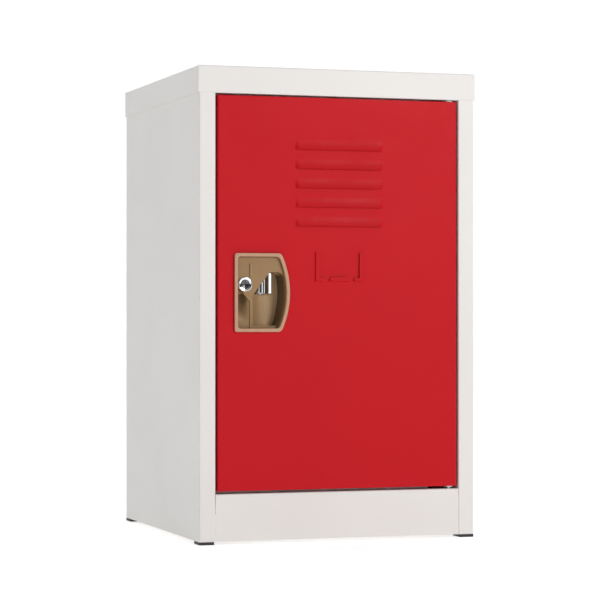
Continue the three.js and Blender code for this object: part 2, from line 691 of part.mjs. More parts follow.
// A flat bar with a chamfered tip, and behind it the fork that the crank's peg pushes.
function latchBolt() {
  const y = [FRONT + BOLT.front, FRONT + BOLT.back];
  const bar = outline([
    [BOLT.tail, y[1]],
    [BOLT.tail, y[0]],
    [BOLT.tip + 3, y[0]],
    [BOLT.tip, y[0] + BOLT.chamfer],
    [BOLT.tip, y[1]],
  ]);
  const { halfWidth, length, height, slotHalf } = FORK;
  const level = [BOLT.bottom, BOLT.bottom + height];
  const fork = block([LEVER.x - halfWidth, LEVER.x + halfWidth], [y[1] - 1, y[1] + length], level);
  const slotDepth = [y[1] + 2, y[1] + length + 1];
  const slot = block([LEVER.x - slotHalf, LEVER.x + slotHalf], slotDepth, [level[0] - 1, level[1] + 1]);
  return join(upright(bar, [BOLT.bottom, BOLT.top]), fork).subtract(slot);
}

// A staple on the back of the handle that the bolt slides through.
function boltGuide(x) {
  const back = FRONT + HANDLE_BACK;
  const { length, wall, slack } = GUIDE;
  const top = FRONT + BOLT.back + 2 * wall;
  const outside = block([x, x + length], [back, top], [BOLT.bottom - 2, BOLT.top + 2]);
  const inside = block(
    [x - 1, x + length + 1],
    [back + wall, top - 1.5 * wall],
    [BOLT.bottom - slack, BOLT.top + slack],
  );
  return outside.subtract(inside);
}

// The angle that the bolt's spring pushes against.
function springAnchor() {
  const back = FRONT + HANDLE_BACK;
  const { left, bottom, top, thickness } = ANCHOR;
  const right = SPRING.x + thickness;
  const foot = block([left, right], [back, back + thickness], [bottom, top]);
  const wall = block([SPRING.x, right], [back, FRONT + BOLT.back + 3], [bottom, top]);
  return join(foot, wall);
}

class Helix extends THREE.Curve {
  constructor(start, length, radius, turns) {
    super();
    Object.assign(this, { start, length, radius, turns });
  }

  getPoint(t, target = new THREE.Vector3()) {
    const angle = 2 * Math.PI * this.turns * t;
    return target.set(
      this.start.x + this.length * t,
      this.start.y + this.radius * Math.cos(angle),
      this.start.z + this.radius * Math.sin(angle),
    );
  }
}

function boltSpring() {
  const start = new THREE.Vector3(
    BOLT.tail + SPRING.wire + 0.2,
    FRONT + (BOLT.front + BOLT.back) / 2,
    (BOLT.bottom + BOLT.top) / 2,
  );
  const length = SPRING.x - SPRING.wire - 0.2 - start.x;
  const section = new THREE.Shape().absarc(0, 0, SPRING.wire, 0, 2 * Math.PI);
  return solid(
    new THREE.ExtrudeGeometry(section, {
      steps: SPRING.turns * 10,
      curveSegments: 2,
      extrudePath: new Helix(start, length, SPRING.radius, SPRING.turns),
    }),
  );
}

// A spring clip that holds the handle in the door: end is +1 on its top edge and -1 on its bottom edge.
function handleClip(x, end) {
  const edge = end > 0 ? HANDLE.top - RIM.insert : HANDLE.bottom + RIM.insert;
  const { length, thickness } = CLIP;
  const [near, back] = [FRONT + SHEET + PLAY, FRONT + HANDLE_BACK];
  const across = [x, x + length];
  const level = (a, b) => span(edge + end * a, edge + end * b);
  return join(
    block(across, [back, back + thickness], level(-6, 1.2)),
    block(across, [near, back + thickness], level(PLAY, 1.2)),
    block(across, [near, near + thickness], level(PLAY, 7)),
  );
}

// ---- Assembly -----------------------------------------------------------------------------------

const locker = new THREE.Group();

function place(name, body, finish) {
  const mesh = new THREE.Mesh(geometryOf(body), finish);
  mesh.name = name;
  locker.add(mesh);
}

place("left_side_panel", leftSidePanel(), CABINET_PAINT);
place("right_side_panel", rightSidePanel(), CABINET_PAINT);
place("back_panel", backPanel(), CABINET_PAINT);
place("bottom_panel", bottomPanel(), CABINET_PAINT);
place("top_cap", topCap(), CABINET_PAINT);
place("header_rail", headerRail(), CABINET_PAINT);
place("bottom_rail", bottomRail(), CABINET_PAINT);

for (const [end, sideY] of [["front", -1], ["rear", 1]]) {
  for (const [hand, sideX] of [["left", -1], ["right", 1]]) {
    place(`foot_${end}_${hand}`, foot(sideX, sideY), BLACK_PLASTIC);
    place(`foot_bracket_${end}_${hand}`, footBracket(sideX, sideY), ZINC);
  }
}
for (const [hand, side] of [["left", -1], ["right", 1]]) {
  place(`rivet_bottom_${hand}`, rivet(side, RIVET.heights[0]), ZINC);
  place(`rivet_top_${hand}`, rivet(side, RIVET.heights[1]), ZINC);
}
place("coat_hook_right", coatHook(), ZINC);
place("coat_hook_left", mirrored(coatHook()), ZINC);
place("door_bumper_top", bumper(DOOR_TOP - BUMPER.fromEnd), BLACK_PLASTIC);
place("door_bumper_bottom", bumper(DOOR_BOTTOM + BUMPER.fromEnd), BLACK_PLASTIC);

for (const [level, end] of [["top", 1], ["bottom", -1]]) {
  place(`hinge_pin_${level}`, hingePin(end), ZINC);
  place(`hinge_bush_${level}`, hingeBush(end), NYLON);
}

place("door_panel", doorPanel(), DOOR_PAINT);
place("door_stiffener", doorStiffener(), DOOR_PAINT);
place("handle_plate", handlePlate(), CHAMPAGNE);
place("lock_housing", lockHousing(), CHAMPAGNE);
place("lock_cylinder", lockCylinder(), CHROME);
place("lock_nut", lockNut(), ZINC);
place("lock_plug", lockPlug(), CHROME);
place("lock_cam", lockCam(), ZINC);
place("cam_screw", camScrew(), ZINC);
place("latch_lever", latchLever(), CHROME);
place("lever_shaft", leverShaft(), ZINC);
place("lever_crank", leverCrank(), ZINC);
place("latch_bolt", latchBolt(), ZINC);
place("bolt_guide_left", boltGuide(GUIDE.left), ZINC);
place("bolt_guide_right", boltGuide(GUIDE.right), ZINC);
place("spring_anchor", springAnchor(), ZINC);
place("bolt_spring", boltSpring(), ZINC);
place("handle_clip_top", handleClip(CLIP.topX, 1), ZINC);
place("handle_clip_bottom", handleClip(CLIP.bottomX, -1), ZINC);

export default locker;
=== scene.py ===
# The looks of a single-tier steel school locker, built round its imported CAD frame.
# Metres. +X is to the right of the door, +Y is into the locker, +Z is up, with the floor at 0.
import json
import math

import bmesh
import bpy
from mathutils import Matrix, Vector
from mathutils.geometry import delaunay_2d_cdt


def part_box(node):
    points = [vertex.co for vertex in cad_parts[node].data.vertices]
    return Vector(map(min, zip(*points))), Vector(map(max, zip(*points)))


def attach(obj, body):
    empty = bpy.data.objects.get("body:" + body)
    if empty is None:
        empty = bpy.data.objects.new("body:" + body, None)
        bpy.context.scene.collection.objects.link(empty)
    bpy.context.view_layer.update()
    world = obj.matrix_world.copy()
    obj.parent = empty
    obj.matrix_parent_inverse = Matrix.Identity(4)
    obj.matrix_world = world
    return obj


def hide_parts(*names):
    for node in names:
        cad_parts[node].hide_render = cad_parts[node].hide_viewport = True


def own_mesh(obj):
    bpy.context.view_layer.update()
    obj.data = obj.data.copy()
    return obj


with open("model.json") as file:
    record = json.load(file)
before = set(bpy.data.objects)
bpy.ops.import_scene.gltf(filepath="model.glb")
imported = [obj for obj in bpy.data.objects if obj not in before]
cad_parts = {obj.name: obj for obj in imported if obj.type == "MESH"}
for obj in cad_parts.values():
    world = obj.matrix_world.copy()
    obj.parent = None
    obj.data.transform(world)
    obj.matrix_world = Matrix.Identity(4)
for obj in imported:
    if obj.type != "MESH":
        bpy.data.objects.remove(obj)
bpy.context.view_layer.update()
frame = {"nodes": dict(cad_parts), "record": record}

MM = 0.001
SHEET = 0.9 * MM
BEND = 1.6 * MM  # outside radius of a fold in the sheet
ARC_STEPS = 5  # facets round a fold

left_lo, left_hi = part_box("left_side_panel")
right_lo, right_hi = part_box("right_side_panel")
cap_lo, cap_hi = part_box("top_cap")
header_lo, header_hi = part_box("header_rail")
rail_lo, rail_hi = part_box("bottom_rail")
door_stiff_lo, door_stiff_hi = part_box("door_stiffener")
handle_lo, handle_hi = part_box("handle_plate")

FRONT = left_lo.y  # the body's front face
BACK = left_hi.y
SIDE = right_hi.x
MOUTH = right_lo.x  # half width of the door opening


# ---- Camera ----

CAMERA_PLACE = Vector((-0.9851, FRONT - 2.815, 0.291))
CAMERA_AZIMUTH = math.radians(18.31)
CAMERA_ELEVATION = math.radians(0.42)
CAMERA_LENS = 137.8


def make_camera():
    data = bpy.data.cameras.new("camera")
    data.lens = CAMERA_LENS
    data.sensor_width = 36
    camera = bpy.data.objects.new("camera", data)
    camera.location = CAMERA_PLACE
    camera.rotation_euler = (math.pi / 2 + CAMERA_ELEVATION, 0, -CAMERA_AZIMUTH)
    bpy.context.scene.collection.objects.link(camera)
    bpy.context.scene.camera = camera


# ---- Light and floor ----


def area_light(name, place, target, size, power):
    data = bpy.data.lights.new(name, "AREA")
    data.shape = "RECTANGLE"
    data.size, data.size_y = size
    data.energy = power
    light = bpy.data.objects.new(name, data)
    light.location = place
    light.rotation_euler = (Vector(target) - Vector(place)).to_track_quat("-Z", "Y").to_euler()
    bpy.context.scene.collection.objects.link(light)


WORLD_BACK = 1.02
WORLD_LEVEL = 0.07  # in front of the locker, near the horizon
WORLD_ABOVE = 0.56  # in front of the locker, high up
WORLD_LEFT = (0.46, 0.52, 0.58, 1)  # the light from the left is dimmer and cooler
WORLD_RIGHT = (1, 1, 1, 1)


def make_world():
    """A pale studio: white behind the locker, and in front of it dark near the horizon, bright above."""
    world = bpy.data.worlds.new("studio")
    bpy.context.scene.world = world
    world.use_nodes = True
    tree = world.node_tree
    tree.nodes.clear()
    direction = tree.nodes.new("ShaderNodeTexCoord")
    parts = tree.nodes.new("ShaderNodeSeparateXYZ")
    tree.links.new(direction.outputs["Generated"], parts.inputs[0])

    def eased(axis, low, high, to_low, to_high):
        made = tree.nodes.new("ShaderNodeMapRange")
        made.interpolation_type = "SMOOTHSTEP"
        numbers = {"From Min": low, "From Max": high, "To Min": to_low, "To Max": to_high}
        for key, value in numbers.items():
            made.inputs[key].default_value = value
        tree.links.new(parts.outputs[axis], made.inputs["Value"])
        return made.outputs[0]

    def mixed(kind, factor, a, b):
        made = tree.nodes.new("ShaderNodeMix")
        made.data_type = kind
        first, second = (2, 3) if kind == "FLOAT" else (6, 7)
        tree.links.new(factor, made.inputs[0])
        if isinstance(a, tuple):
            made.inputs[first].default_value = a
        else:
            tree.links.new(a, made.inputs[first])
        made.inputs[second].default_value = b
        return made.outputs[0 if kind == "FLOAT" else 2]

    behind = eased("Y", 0.1, 0.65, 0, 1)
    tint = mixed("RGBA", eased("X", -0.9, 0.5, 0, 1), WORLD_LEFT, WORLD_RIGHT)
    background = tree.nodes.new("ShaderNodeBackground")
    above = eased("Z", 0.12, 0.6, WORLD_LEVEL, WORLD_ABOVE)
    tree.links.new(mixed("RGBA", behind, tint, WORLD_RIGHT), background.inputs["Color"])
    tree.links.new(mixed("FLOAT", behind, above, WORLD_BACK), background.inputs["Strength"])
    output = tree.nodes.new("ShaderNodeOutputWorld")
    tree.links.new(background.outputs[0], output.inputs[0])


FLOOR_GLOW = 0.5  # keeps the floor white as far as the horizon
FLOOR_HALF = 40


def make_stage():
    size = FLOOR_HALF
    mesh = bpy.data.meshes.new("floor")
    corners = [(-size, -size, 0), (size, -size, 0), (size, size, 0), (-size, size, 0)]
    mesh.from_pydata(corners, [], [(0, 1, 2, 3)])
    floor = bpy.data.objects.new("floor", mesh)
    bpy.context.scene.collection.objects.link(floor)
    paint = bpy.data.materials.new("floor_white")
    paint.use_nodes = True
    shader = paint.node_tree.nodes["Principled BSDF"]
    shader.inputs["Base Color"].default_value = (0.93, 0.93, 0.93, 1)
    shader.inputs["Roughness"].default_value = 0.9
    shader.inputs["Specular IOR Level"].default_value = 0.1
    shader.inputs["Emission Color"].default_value = (1, 1, 1, 1)
    shader.inputs["Emission Strength"].default_value = FLOOR_GLOW
    mesh.materials.append(paint)


def make_lights():
    centre = (0, 0, 0.32)
    area_light("key", (1.4, -2.8, 1.45), centre, (0.9, 0.9), 30)
    area_light("left_window", (-1.7, -2.6, 0.62), centre, (1.7, 1.1), 2.5)
    area_light("front_card", (0.95, -2.75, 0.5), centre, (0.5, 0.8), 1.8)
    area_light("right_strip", (2.5, -1.7, 0.5), centre, (0.25, 0.9), 1.8)
    area_light("overhead", (0, 0.2, 3.0), centre, (2.6, 2.6), 7)


# ---- Materials ----


class Finish:
    """A procedural material under construction: a Principled shader with helpers for its textures."""

    def __init__(self, name, colour, roughness, metallic=0.0):
        self.material = bpy.data.materials.new(name)
        self.material.use_nodes = True
        self.tree = self.material.node_tree
        self.shader = self.tree.nodes["Principled BSDF"]
        self.shader.inputs["Base Color"].default_value = (*colour, 1)
        self.shader.inputs["Roughness"].default_value = roughness
        self.shader.inputs["Metallic"].default_value = metallic
        self.colour = colour
        coordinates = self.tree.nodes.new("ShaderNodeTexCoord")
        self.place, self.normal = coordinates.outputs["Object"], coordinates.outputs["Normal"]

    def node(self, kind, **inputs):
        made = self.tree.nodes.new(kind)
        for key, value in inputs.items():
            made.inputs[key.replace("_", " ")].default_value = value
        return made

    def noise(self, feature, detail=3.0, roughness=0.5, stretch=(1, 1, 1)):
        """Noise whose blobs are about feature metres across."""
        mapping = self.node("ShaderNodeMapping")
        mapping.inputs["Scale"].default_value = tuple(s / feature for s in stretch)
        self.tree.links.new(self.place, mapping.inputs["Vector"])
        texture = self.node("ShaderNodeTexNoise", Scale=1.0, Detail=detail, Roughness=roughness)
        self.tree.links.new(mapping.outputs[0], texture.inputs["Vector"])
        return texture.outputs["Fac"]

    def ramp(self, value, low, high, to_low, to_high):
        limits = {"From_Min": low, "From_Max": high, "To_Min": to_low, "To_Max": to_high}
        made = self.node("ShaderNodeMapRange", **limits)
        self.tree.links.new(value, made.inputs["Value"])
        return made.outputs[0]

    def product(self, a, b):
        made = self.tree.nodes.new("ShaderNodeMath")
        made.operation = "MULTIPLY"
        for socket, value in zip(made.inputs, (a, b)):
            self.tree.links.new(value, socket)
        return made.outputs[0]

    def mix_colour(self, factor, a, b):
        made = self.tree.nodes.new("ShaderNodeMix")
        made.data_type = "RGBA"
        self.tree.links.new(factor, made.inputs[0])
        for socket, colour in ((made.inputs[6], a), (made.inputs[7], b)):
            if isinstance(colour, tuple):
                socket.default_value = (*colour, 1)
            else:
                self.tree.links.new(colour, socket)
        return made.outputs[2]

    def vary_colour(self, value, low, high, darker, lighter):
        """The base colour, from darker times to lighter times as value goes from low to high."""
        factor = self.ramp(value, low, high, 0, 1)
        dark = tuple(c * darker for c in self.colour)
        light = tuple(min(1.0, c * lighter) for c in self.colour)
        return self.mix_colour(factor, dark, light)

    def set(self, socket, output):
        self.tree.links.new(output, self.shader.inputs[socket])

    def bump(self, height, distance, strength=1.0, after=None):
        made = self.node("ShaderNodeBump", Distance=distance, Strength=strength)
        self.tree.links.new(height, made.inputs["Height"])
        if after is not None:
            self.tree.links.new(after, made.inputs["Normal"])
        return made.outputs[0]


def powder_coat(name, colour, roughness):
    """Baked powder paint: fine orange peel, a slow drift of tone, and a few dull rubbed patches."""
    f = Finish(name, colour, roughness)
    f.shader.inputs["Specular IOR Level"].default_value = 0.11
    drift = f.noise(180 * MM, detail=2)
    speck = f.noise(1.1 * MM, detail=2)
    tone = f.vary_colour(drift, 0.3, 0.7, 0.975, 1.015)
    darker = tuple(c * 0.96 for c in colour)
    f.set("Base Color", f.mix_colour(f.ramp(speck, 0.35, 0.65, 0, 0.25), tone, darker))
    rubbed = f.noise(34 * MM, detail=5, roughness=0.65)
    f.set("Roughness", f.ramp(rubbed, 0.35, 0.7, roughness - 0.05, roughness + 0.08))
    peel = f.noise(2.4 * MM, detail=1.5, roughness=0.4)
    wave = f.noise(22 * MM, detail=1)
    first = f.bump(wave, 0.05 * MM)
    f.set("Normal", f.bump(peel, 0.022 * MM, after=first))
    return f.material


RIM_TONE = (1.12, 1.0, 1.1)
TRAY_TONE = (0.66, 0.61, 0.47)
PAINTED_LIGHT_TONE = (1.45, 1.55, 1.6)  # painted light on the cup's floor
PAINTED_SHADE = 0.4  # painted shade, as a share of the tray's tone: on the cup's right-hand wall, and under the lock
LOCK_SHADE_X, LOCK_SHADE_DEPTH = (-119 * MM, -123 * MM), (6 * MM, 10 * MM)  # where each tone fades in: the painted shade under the lock, and below it the painted light on the cup's floor
PAINTED_LIGHT_X, PAINTED_LIGHT_DEPTH = (-116 * MM, -104 * MM), (8 * MM, 18 * MM)


def toned(colour, tone):
    return tuple(c * t for c, t in zip(colour, tone))


def champagne_plastic(name, colour):
    """Moulded plastic with a metallic pigment, streaked by the mould's flow. It is paler on the rim, and
    the cup's floor is paler with painted light. Under the lock and on walls that face left it is darker
    with painted shade."""
    f = Finish(name, colour, 0.4, 0.2)
    f.shader.inputs["Specular IOR Level"].default_value = 0.4
    parts = f.node("ShaderNodeSeparateXYZ")
    f.tree.links.new(f.place, parts.inputs[0])
    across, y = parts.outputs["X"], parts.outputs["Y"]

    def depth(start, end):
        return f.ramp(y, FRONT + start, FRONT + end, 0, 1)

    flake = f.noise(0.35 * MM, detail=2)
    flow = f.noise(14 * MM, detail=3, stretch=(1, 1, 0.35))
    tray = toned(colour, TRAY_TONE)
    base = f.mix_colour(depth(-3 * MM, 0), toned(colour, RIM_TONE), tray)
    # Painted shade under the lock, darker deeper in and further left.
    under_lock = f.product(depth(*LOCK_SHADE_DEPTH), f.ramp(across, *LOCK_SHADE_X, 0, 0.6))
    shade_colour = tuple(c * PAINTED_SHADE for c in tray)
    base = f.mix_colour(under_lock, base, shade_colour)
    # Painted light: the cup's floor is made paler towards its deep right-hand side.
    in_cup = f.product(depth(*PAINTED_LIGHT_DEPTH), f.ramp(across, *PAINTED_LIGHT_X, 0, 1))
    base = f.mix_colour(in_cup, base, toned(colour, PAINTED_LIGHT_TONE))
    # Painted shade on walls that face left, as deep as the tray.
    facing_left = f.node("ShaderNodeSeparateXYZ")
    f.tree.links.new(f.normal, facing_left.inputs[0])
    shade = f.ramp(facing_left.outputs["X"], -0.5, -0.85, 0, 1)
    on_wall = f.product(shade, depth(0, 8 * MM))
    base = f.mix_colour(on_wall, base, shade_colour)
    streaked = f.node("ShaderNodeHueSaturation")
    f.tree.links.new(f.ramp(flow, 0.3, 0.7, 0.93, 1.06), streaked.inputs["Value"])
    f.tree.links.new(base, streaked.inputs["Color"])
    bright = tuple(min(1.0, c * 1.3) for c in colour)
    flakes = f.ramp(flake, 0.58, 0.75, 0, 0.45)
    f.set("Base Color", f.mix_colour(flakes, streaked.outputs[0], bright))
    f.set("Roughness", f.ramp(flow, 0.3, 0.7, 0.34, 0.46))
    f.set("Normal", f.bump(flake, 0.006 * MM))
    return f.material


def bright_chrome(name, colour):
    """Chrome plate with the faint smears of handling."""
    f = Finish(name, colour, 0.04, 1.0)
    smear = f.noise(3.5 * MM, detail=4, roughness=0.6, stretch=(1, 1, 0.3))
    f.set("Roughness", f.ramp(smear, 0.4, 0.8, 0.03, 0.1))
    f.set("Base Color", f.vary_colour(smear, 0.3, 0.7, 0.96, 1.0))
    f.set("Normal", f.bump(f.noise(6 * MM, detail=1), 0.004 * MM))
    return f.material


PLUG_FACE_SHARE = 0.14  # the plug face's colour, as a share of the chrome's brightness


def turned_chrome(name, colour):
    """Chrome with its colour darkened, on a face turned on a lathe, so that its highlight fans out from
    the centre.
    """
    colour = tuple(c * PLUG_FACE_SHARE for c in colour)
    f = Finish(name, colour, 0.2, 1.0)
    f.shader.inputs["Anisotropic"].default_value = 0.9
    f.shader.inputs["Anisotropic Rotation"].default_value = 0.25
    tangent = f.tree.nodes.new("ShaderNodeTangent")
    tangent.direction_type = "RADIAL"
    tangent.axis = "Y"
    f.set("Tangent", tangent.outputs[0])
    smear = f.noise(2.5 * MM, detail=3)
    f.set("Roughness", f.ramp(smear, 0.3, 0.7, 0.16, 0.26))
    f.set("Base Color", f.vary_colour(smear, 0.3, 0.7, 0.92, 1.0))
    return f.material


def zinc_plate(name, colour):
    """Bright zinc over drawn steel: soft spangle, drawing lines and a little bloom."""
    f = Finish(name, colour, 0.33, 0.95)
    cells = f.node("ShaderNodeTexVoronoi", Scale=160.0)
    f.tree.links.new(f.place, cells.inputs["Vector"])
    spangle = f.vary_colour(cells.outputs["Color"], 0.2, 0.8, 0.82, 1.06)
    bloom = f.noise(7 * MM, detail=4, roughness=0.6)
    dull = tuple(c * 0.8 for c in colour)
    f.set("Base Color", f.mix_colour(f.ramp(bloom, 0.55, 0.8, 0, 0.6), spangle, dull))
    f.set("Roughness", f.ramp(bloom, 0.3, 0.7, 0.26, 0.44))
    lines = f.noise(0.5 * MM, detail=2, stretch=(0.08, 1, 1))
    f.set("Normal", f.bump(lines, 0.008 * MM))
    return f.material


def moulded(name, colour, roughness, grain):
    """Plain moulded rubber or nylon with a fine eroded grain and scuffed high spots."""
    f = Finish(name, colour, roughness)
    scuff = f.noise(6 * MM, detail=5, roughness=0.65)
    texture = f.noise(grain, detail=3)
    f.set("Base Color", f.vary_colour(scuff, 0.35, 0.75, 0.85, 1.5 if max(colour) < 0.1 else 1.03))
    f.set("Roughness", f.ramp(scuff, 0.35, 0.7, roughness - 0.1, roughness + 0.1))
    f.set("Normal", f.bump(texture, 0.03 * MM))
    return f.material


def slot_colour(slot):
    found = [m for m in frame["record"]["materials"] if m["slot"] == slot]
    return tuple(found[0]["base_color"][:3])


FINISHES = {
    "cabinet_paint": powder_coat("cabinet_paint_look", slot_colour("cabinet_paint"), 0.42),
    "door_paint": powder_coat("door_paint_look", slot_colour("door_paint"), 0.4),
    "handle_plastic": champagne_plastic("handle_plastic_look", slot_colour("handle_plastic")),
    "lock_chrome": bright_chrome("lock_chrome_look", slot_colour("lock_chrome")),
    "zinc_steel": zinc_plate("zinc_steel_look", slot_colour("zinc_steel")),
    "black_rubber": moulded("black_rubber_look", slot_colour("black_rubber"), 0.62, 0.8 * MM),
    "white_nylon": moulded("white_nylon_look", slot_colour("white_nylon"), 0.45, 0.6 * MM),
}
TURNED_FACE = turned_chrome("turned_chrome_look", slot_colour("lock_chrome"))


# ---- Mesh helpers ----


def node_body(node):
    return next(b for b, nodes in frame["record"]["behaviour"]["bodies"].items() if node in nodes)


def node_slot(node):
    return next(s["material_slot"] for s in frame["record"]["subparts"] if s["node"] == node)


def finished(mesh, name, node, thickness=None, bevel=None, smooth=35, finish=None, even=True):
    """Makes a piece of a mesh, in place of a CAD node: thickens, bevels and shades it, and lets it ride.
    even keeps the thickness the same round folds."""
    mesh.validate()
    piece = bpy.data.objects.new(name, mesh)
    bpy.context.scene.collection.objects.link(piece)
    if thickness:
        solid = piece.modifiers.new("sheet", "SOLIDIFY")
        solid.thickness = thickness
        solid.offset = -1
        solid.use_even_offset = even
    if bevel:
        edge = piece.modifiers.new("edge", "BEVEL")
        edge.width, edge.segments = bevel
        edge.limit_method = "ANGLE"
        edge.angle_limit = math.radians(40)
    if thickness or bevel:
        depsgraph = bpy.context.evaluated_depsgraph_get()
        final = bpy.data.meshes.new_from_object(piece.evaluated_get(depsgraph))
        piece.modifiers.clear()
        piece.data = final
    for polygon in piece.data.polygons:
        polygon.use_smooth = True
    piece.data.set_sharp_from_angle(angle=math.radians(smooth))
    weights = piece.modifiers.new("even_shading", "WEIGHTED_NORMAL")
    weights.keep_sharp = True
    piece.data.materials.clear()
    slot = node_slot(node)
    piece.data.materials.append(finish or FINISHES[slot])
    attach(piece, node_body(node))
    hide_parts(node)
    return piece


def mesh_of(name, points, faces):
    mesh = bpy.data.meshes.new(name)
    mesh.from_pydata([tuple(p) for p in points], [], faces)
    return mesh


def joined(name, meshes, weld=0.0):
    """One mesh of several, with vertices closer than weld merged."""
    together = bmesh.new()
    for mesh in meshes:
        together.from_mesh(mesh)
        bpy.data.meshes.remove(mesh)
    if weld:
        bmesh.ops.remove_doubles(together, verts=together.verts, dist=weld)
    mesh = bpy.data.meshes.new(name)
    together.to_mesh(mesh)
    together.free()
    return mesh


def rounded(path, radius, steps=ARC_STEPS, closed=False):
    """The path with an arc in place of each corner. A corner's third number is its own radius."""
    points = [Vector(p[:2]) for p in path]
    radii = [p[2] if len(p) > 2 else radius for p in path]
    count = len(points)
    result = []
    for i, here in enumerate(points):
        if not closed and i in (0, count - 1):
            result.append(here)
            continue
        before = (points[i - 1] - here).normalized()
        after = (points[(i + 1) % count] - here).normalized()
        half = before.angle(after) / 2
        if radii[i] < 1e-6 or abs(half - math.pi / 2) < 1e-3:
            result.append(here)
            continue
        centre = here + (before + after).normalized() * (radii[i] / math.sin(half))
        start = here + before * (radii[i] / math.tan(half)) - centre
        turn = math.pi - 2 * half
        if start.cross(here + after * (radii[i] / math.tan(half)) - centre) < 0:
            turn = -turn
        for k in range(steps + 1):
            result.append(centre + Matrix.Rotation(turn * k / steps, 2) @ start)
    return result


PLANES = {
    "z": lambda u, v, w: (u, v, w),  # a plan outline, run up
    "x": lambda u, v, w: (w, u, v),  # a side outline, run across
    "y": lambda u, v, w: (u, w, v),  # a front outline, run inwards
}


def strip(path, axis, levels, keep=lambda point, level: True):
    """A bent strip of sheet: an open path run along an axis through levels. keep drops the faces of
    a stretch that a flange doesn't reach."""
    place = PLANES[axis]
    points = [place(p.x, p.y, w) for w in levels for p in path]
    width = len(path)
    faces = []
    for k in range(len(levels) - 1):
        for i in range(width - 1):
            middle = (path[i] + path[i + 1]) / 2
            if keep(middle, (levels[k] + levels[k + 1]) / 2):
                a = k * width + i
                faces.append((a, a + 1, a + 1 + width, a + width))
    return mesh_of("strip", points, faces)


def prism(loop, axis, near, far):
    """A solid with a closed outline, run along an axis."""
    place = PLANES[axis]
    count = len(loop)
    points = [place(p[0], p[1], w) for w in (near, far) for p in loop]
    faces = [(i, (i + 1) % count, (i + 1) % count + count, i + count) for i in range(count)]
    faces += [tuple(range(count)), tuple(range(count, 2 * count))]
    return facing_out(mesh_of("prism", points, faces))


def pan(place, u, v, profile, slits=(), slit_rows=0, filled=True):
    """A rectangular pan: profile rows of (inset, depth), from its open side to its face, swept round
    the rectangle u by v with mitred corners. slits are places along v where both sides are slit through
    the first slit_rows rows."""
    ring = []
    points = []
    for inset, depth in profile:
        (u0, u1), (v0, v1) = (u[0] + inset, u[1] - inset), (v[0] + inset, v[1] - inset)
        ring = [(u0, v0), (u1, v0), *((u1, c) for c in slits), (u1, v1), (u0, v1)]
        ring += [(u0, c) for c in reversed(slits)]
        points += [place(a, b, depth) for a, b in ring]
    count = len(ring)
    open_segments = (2, 6) if slits else ()
    faces = []
    for r in range(len(profile) - 1):
        for i in range(count):
            if r < slit_rows and i in open_segments:
                continue
            a, b = r * count + i, r * count + (i + 1) % count
            faces.append((a, b, b + count, a + count))
    if filled:
        faces.append(tuple(range((len(profile) - 1) * count, len(profile) * count)))
    return mesh_of("pan", points, faces)


def triangulated(outer, holes=(), inner=()):
    """Triangles over a plane region: (2-D points, triangles). inner points refine it."""
    coords, edges = [], []
    for loop in (outer, *holes):
        start = len(coords)
        coords += [Vector(p) for p in loop]
        edges += [(start + i, start + (i + 1) % len(loop)) for i in range(len(loop))]
    coords += [Vector(p) for p in inner]
    points, _, triangles, *_ = delaunay_2d_cdt(coords, edges, [], 0, 1e-9)
    kept = []
    for triangle in triangles:
        centre = sum((points[i] for i in triangle), Vector((0, 0))) / 3
        if inside(centre, outer) and not any(inside(centre, hole) for hole in holes):
            kept.append(tuple(triangle))
    return points, kept


def inside(point, loop):
    hit = False
    for i in range(len(loop)):
        a, b = loop[i - 1], loop[i]
        if (a[1] > point[1]) != (b[1] > point[1]):
            if point[0] < (b[0] - a[0]) * (point[1] - a[1]) / (b[1] - a[1]) + a[0]:
                hit = not hit
    return hit


def facing(points, triangles, y_of):
    """A plane region stood up in x and z, facing -Y, with y_of(x, z) as its depth."""
    flipped = [t if turned_front(points, t) else t[::-1] for t in triangles]
    return mesh_of("facing", [(p[0], y_of(p[0], p[1]), p[1]) for p in points], flipped)


def turned_front(points, triangle):
    a, b, c = (points[i] for i in triangle)
    return (b - a).cross(c - a) > 0


def wall(loop, near, far, closed=True):
    """A wall along a loop in x and z, from depth near(x, z) to depth far(x, z)."""
    count = len(loop)
    points = [(p[0], near(p[0], p[1]), p[1]) for p in loop]
    points += [(p[0], far(p[0], p[1]), p[1]) for p in loop]
    last = count if closed else count - 1
    faces = [(i, (i + 1) % count, (i + 1) % count + count, i + count) for i in range(last)]
    return mesh_of("wall", points, faces)


def sheet_of(rows, closed=False):
    """Faces between rows of points, each row as long as the next. closed joins a row's ends."""
    count = len(rows[0])
    points = [p for row in rows for p in row]
    faces = []
    for r in range(len(rows) - 1):
        for i in range(count if closed else count - 1):
            a, b = r * count + i, r * count + (i + 1) % count
            faces.append((a, b, b + count, a + count))
    return mesh_of("sheet", points, faces)


def grid(xs, zs, y_of, keep=lambda x, z: True):
    """A surface over a grid in x and z, facing -Y, without the cells whose middle isn't kept."""
    points = [(x, y_of(x, z), z) for z in zs for x in xs]
    width = len(xs)
    faces = []
    for k in range(len(zs) - 1):
        for i in range(width - 1):
            if keep((xs[i] + xs[i + 1]) / 2, (zs[k] + zs[k + 1]) / 2):
                a = k * width + i
                faces.append((a, a + 1, a + 1 + width, a + width))
    return mesh_of("grid", points, faces)


def facing_out(mesh):
    tidy = bmesh.new()
    tidy.from_mesh(mesh)
    bmesh.ops.recalc_face_normals(tidy, faces=tidy.faces)
    tidy.to_mesh(mesh)
    tidy.free()
    return mesh


def spread(start, end, steps):
    return [start + (end - start) * k / steps for k in range(steps + 1)]


def rectangle(xs, zs):
    (x0, x1), (z0, z1) = xs, zs
    return [(x0, z0), (x1, z0), (x1, z1), (x0, z1)]


def quadratic(start, control, end, steps):
    a, b, c = Vector(start), Vector(control), Vector(end)
    return [a * (1 - t) ** 2 + b * 2 * t * (1 - t) + c * t * t for t in spread(0, 1, steps)]


def bezier(a, b, c, d, t):
    return a * (1 - t) ** 3 + b * 3 * t * (1 - t) ** 2 + c * 3 * t * t * (1 - t) + d * t**3


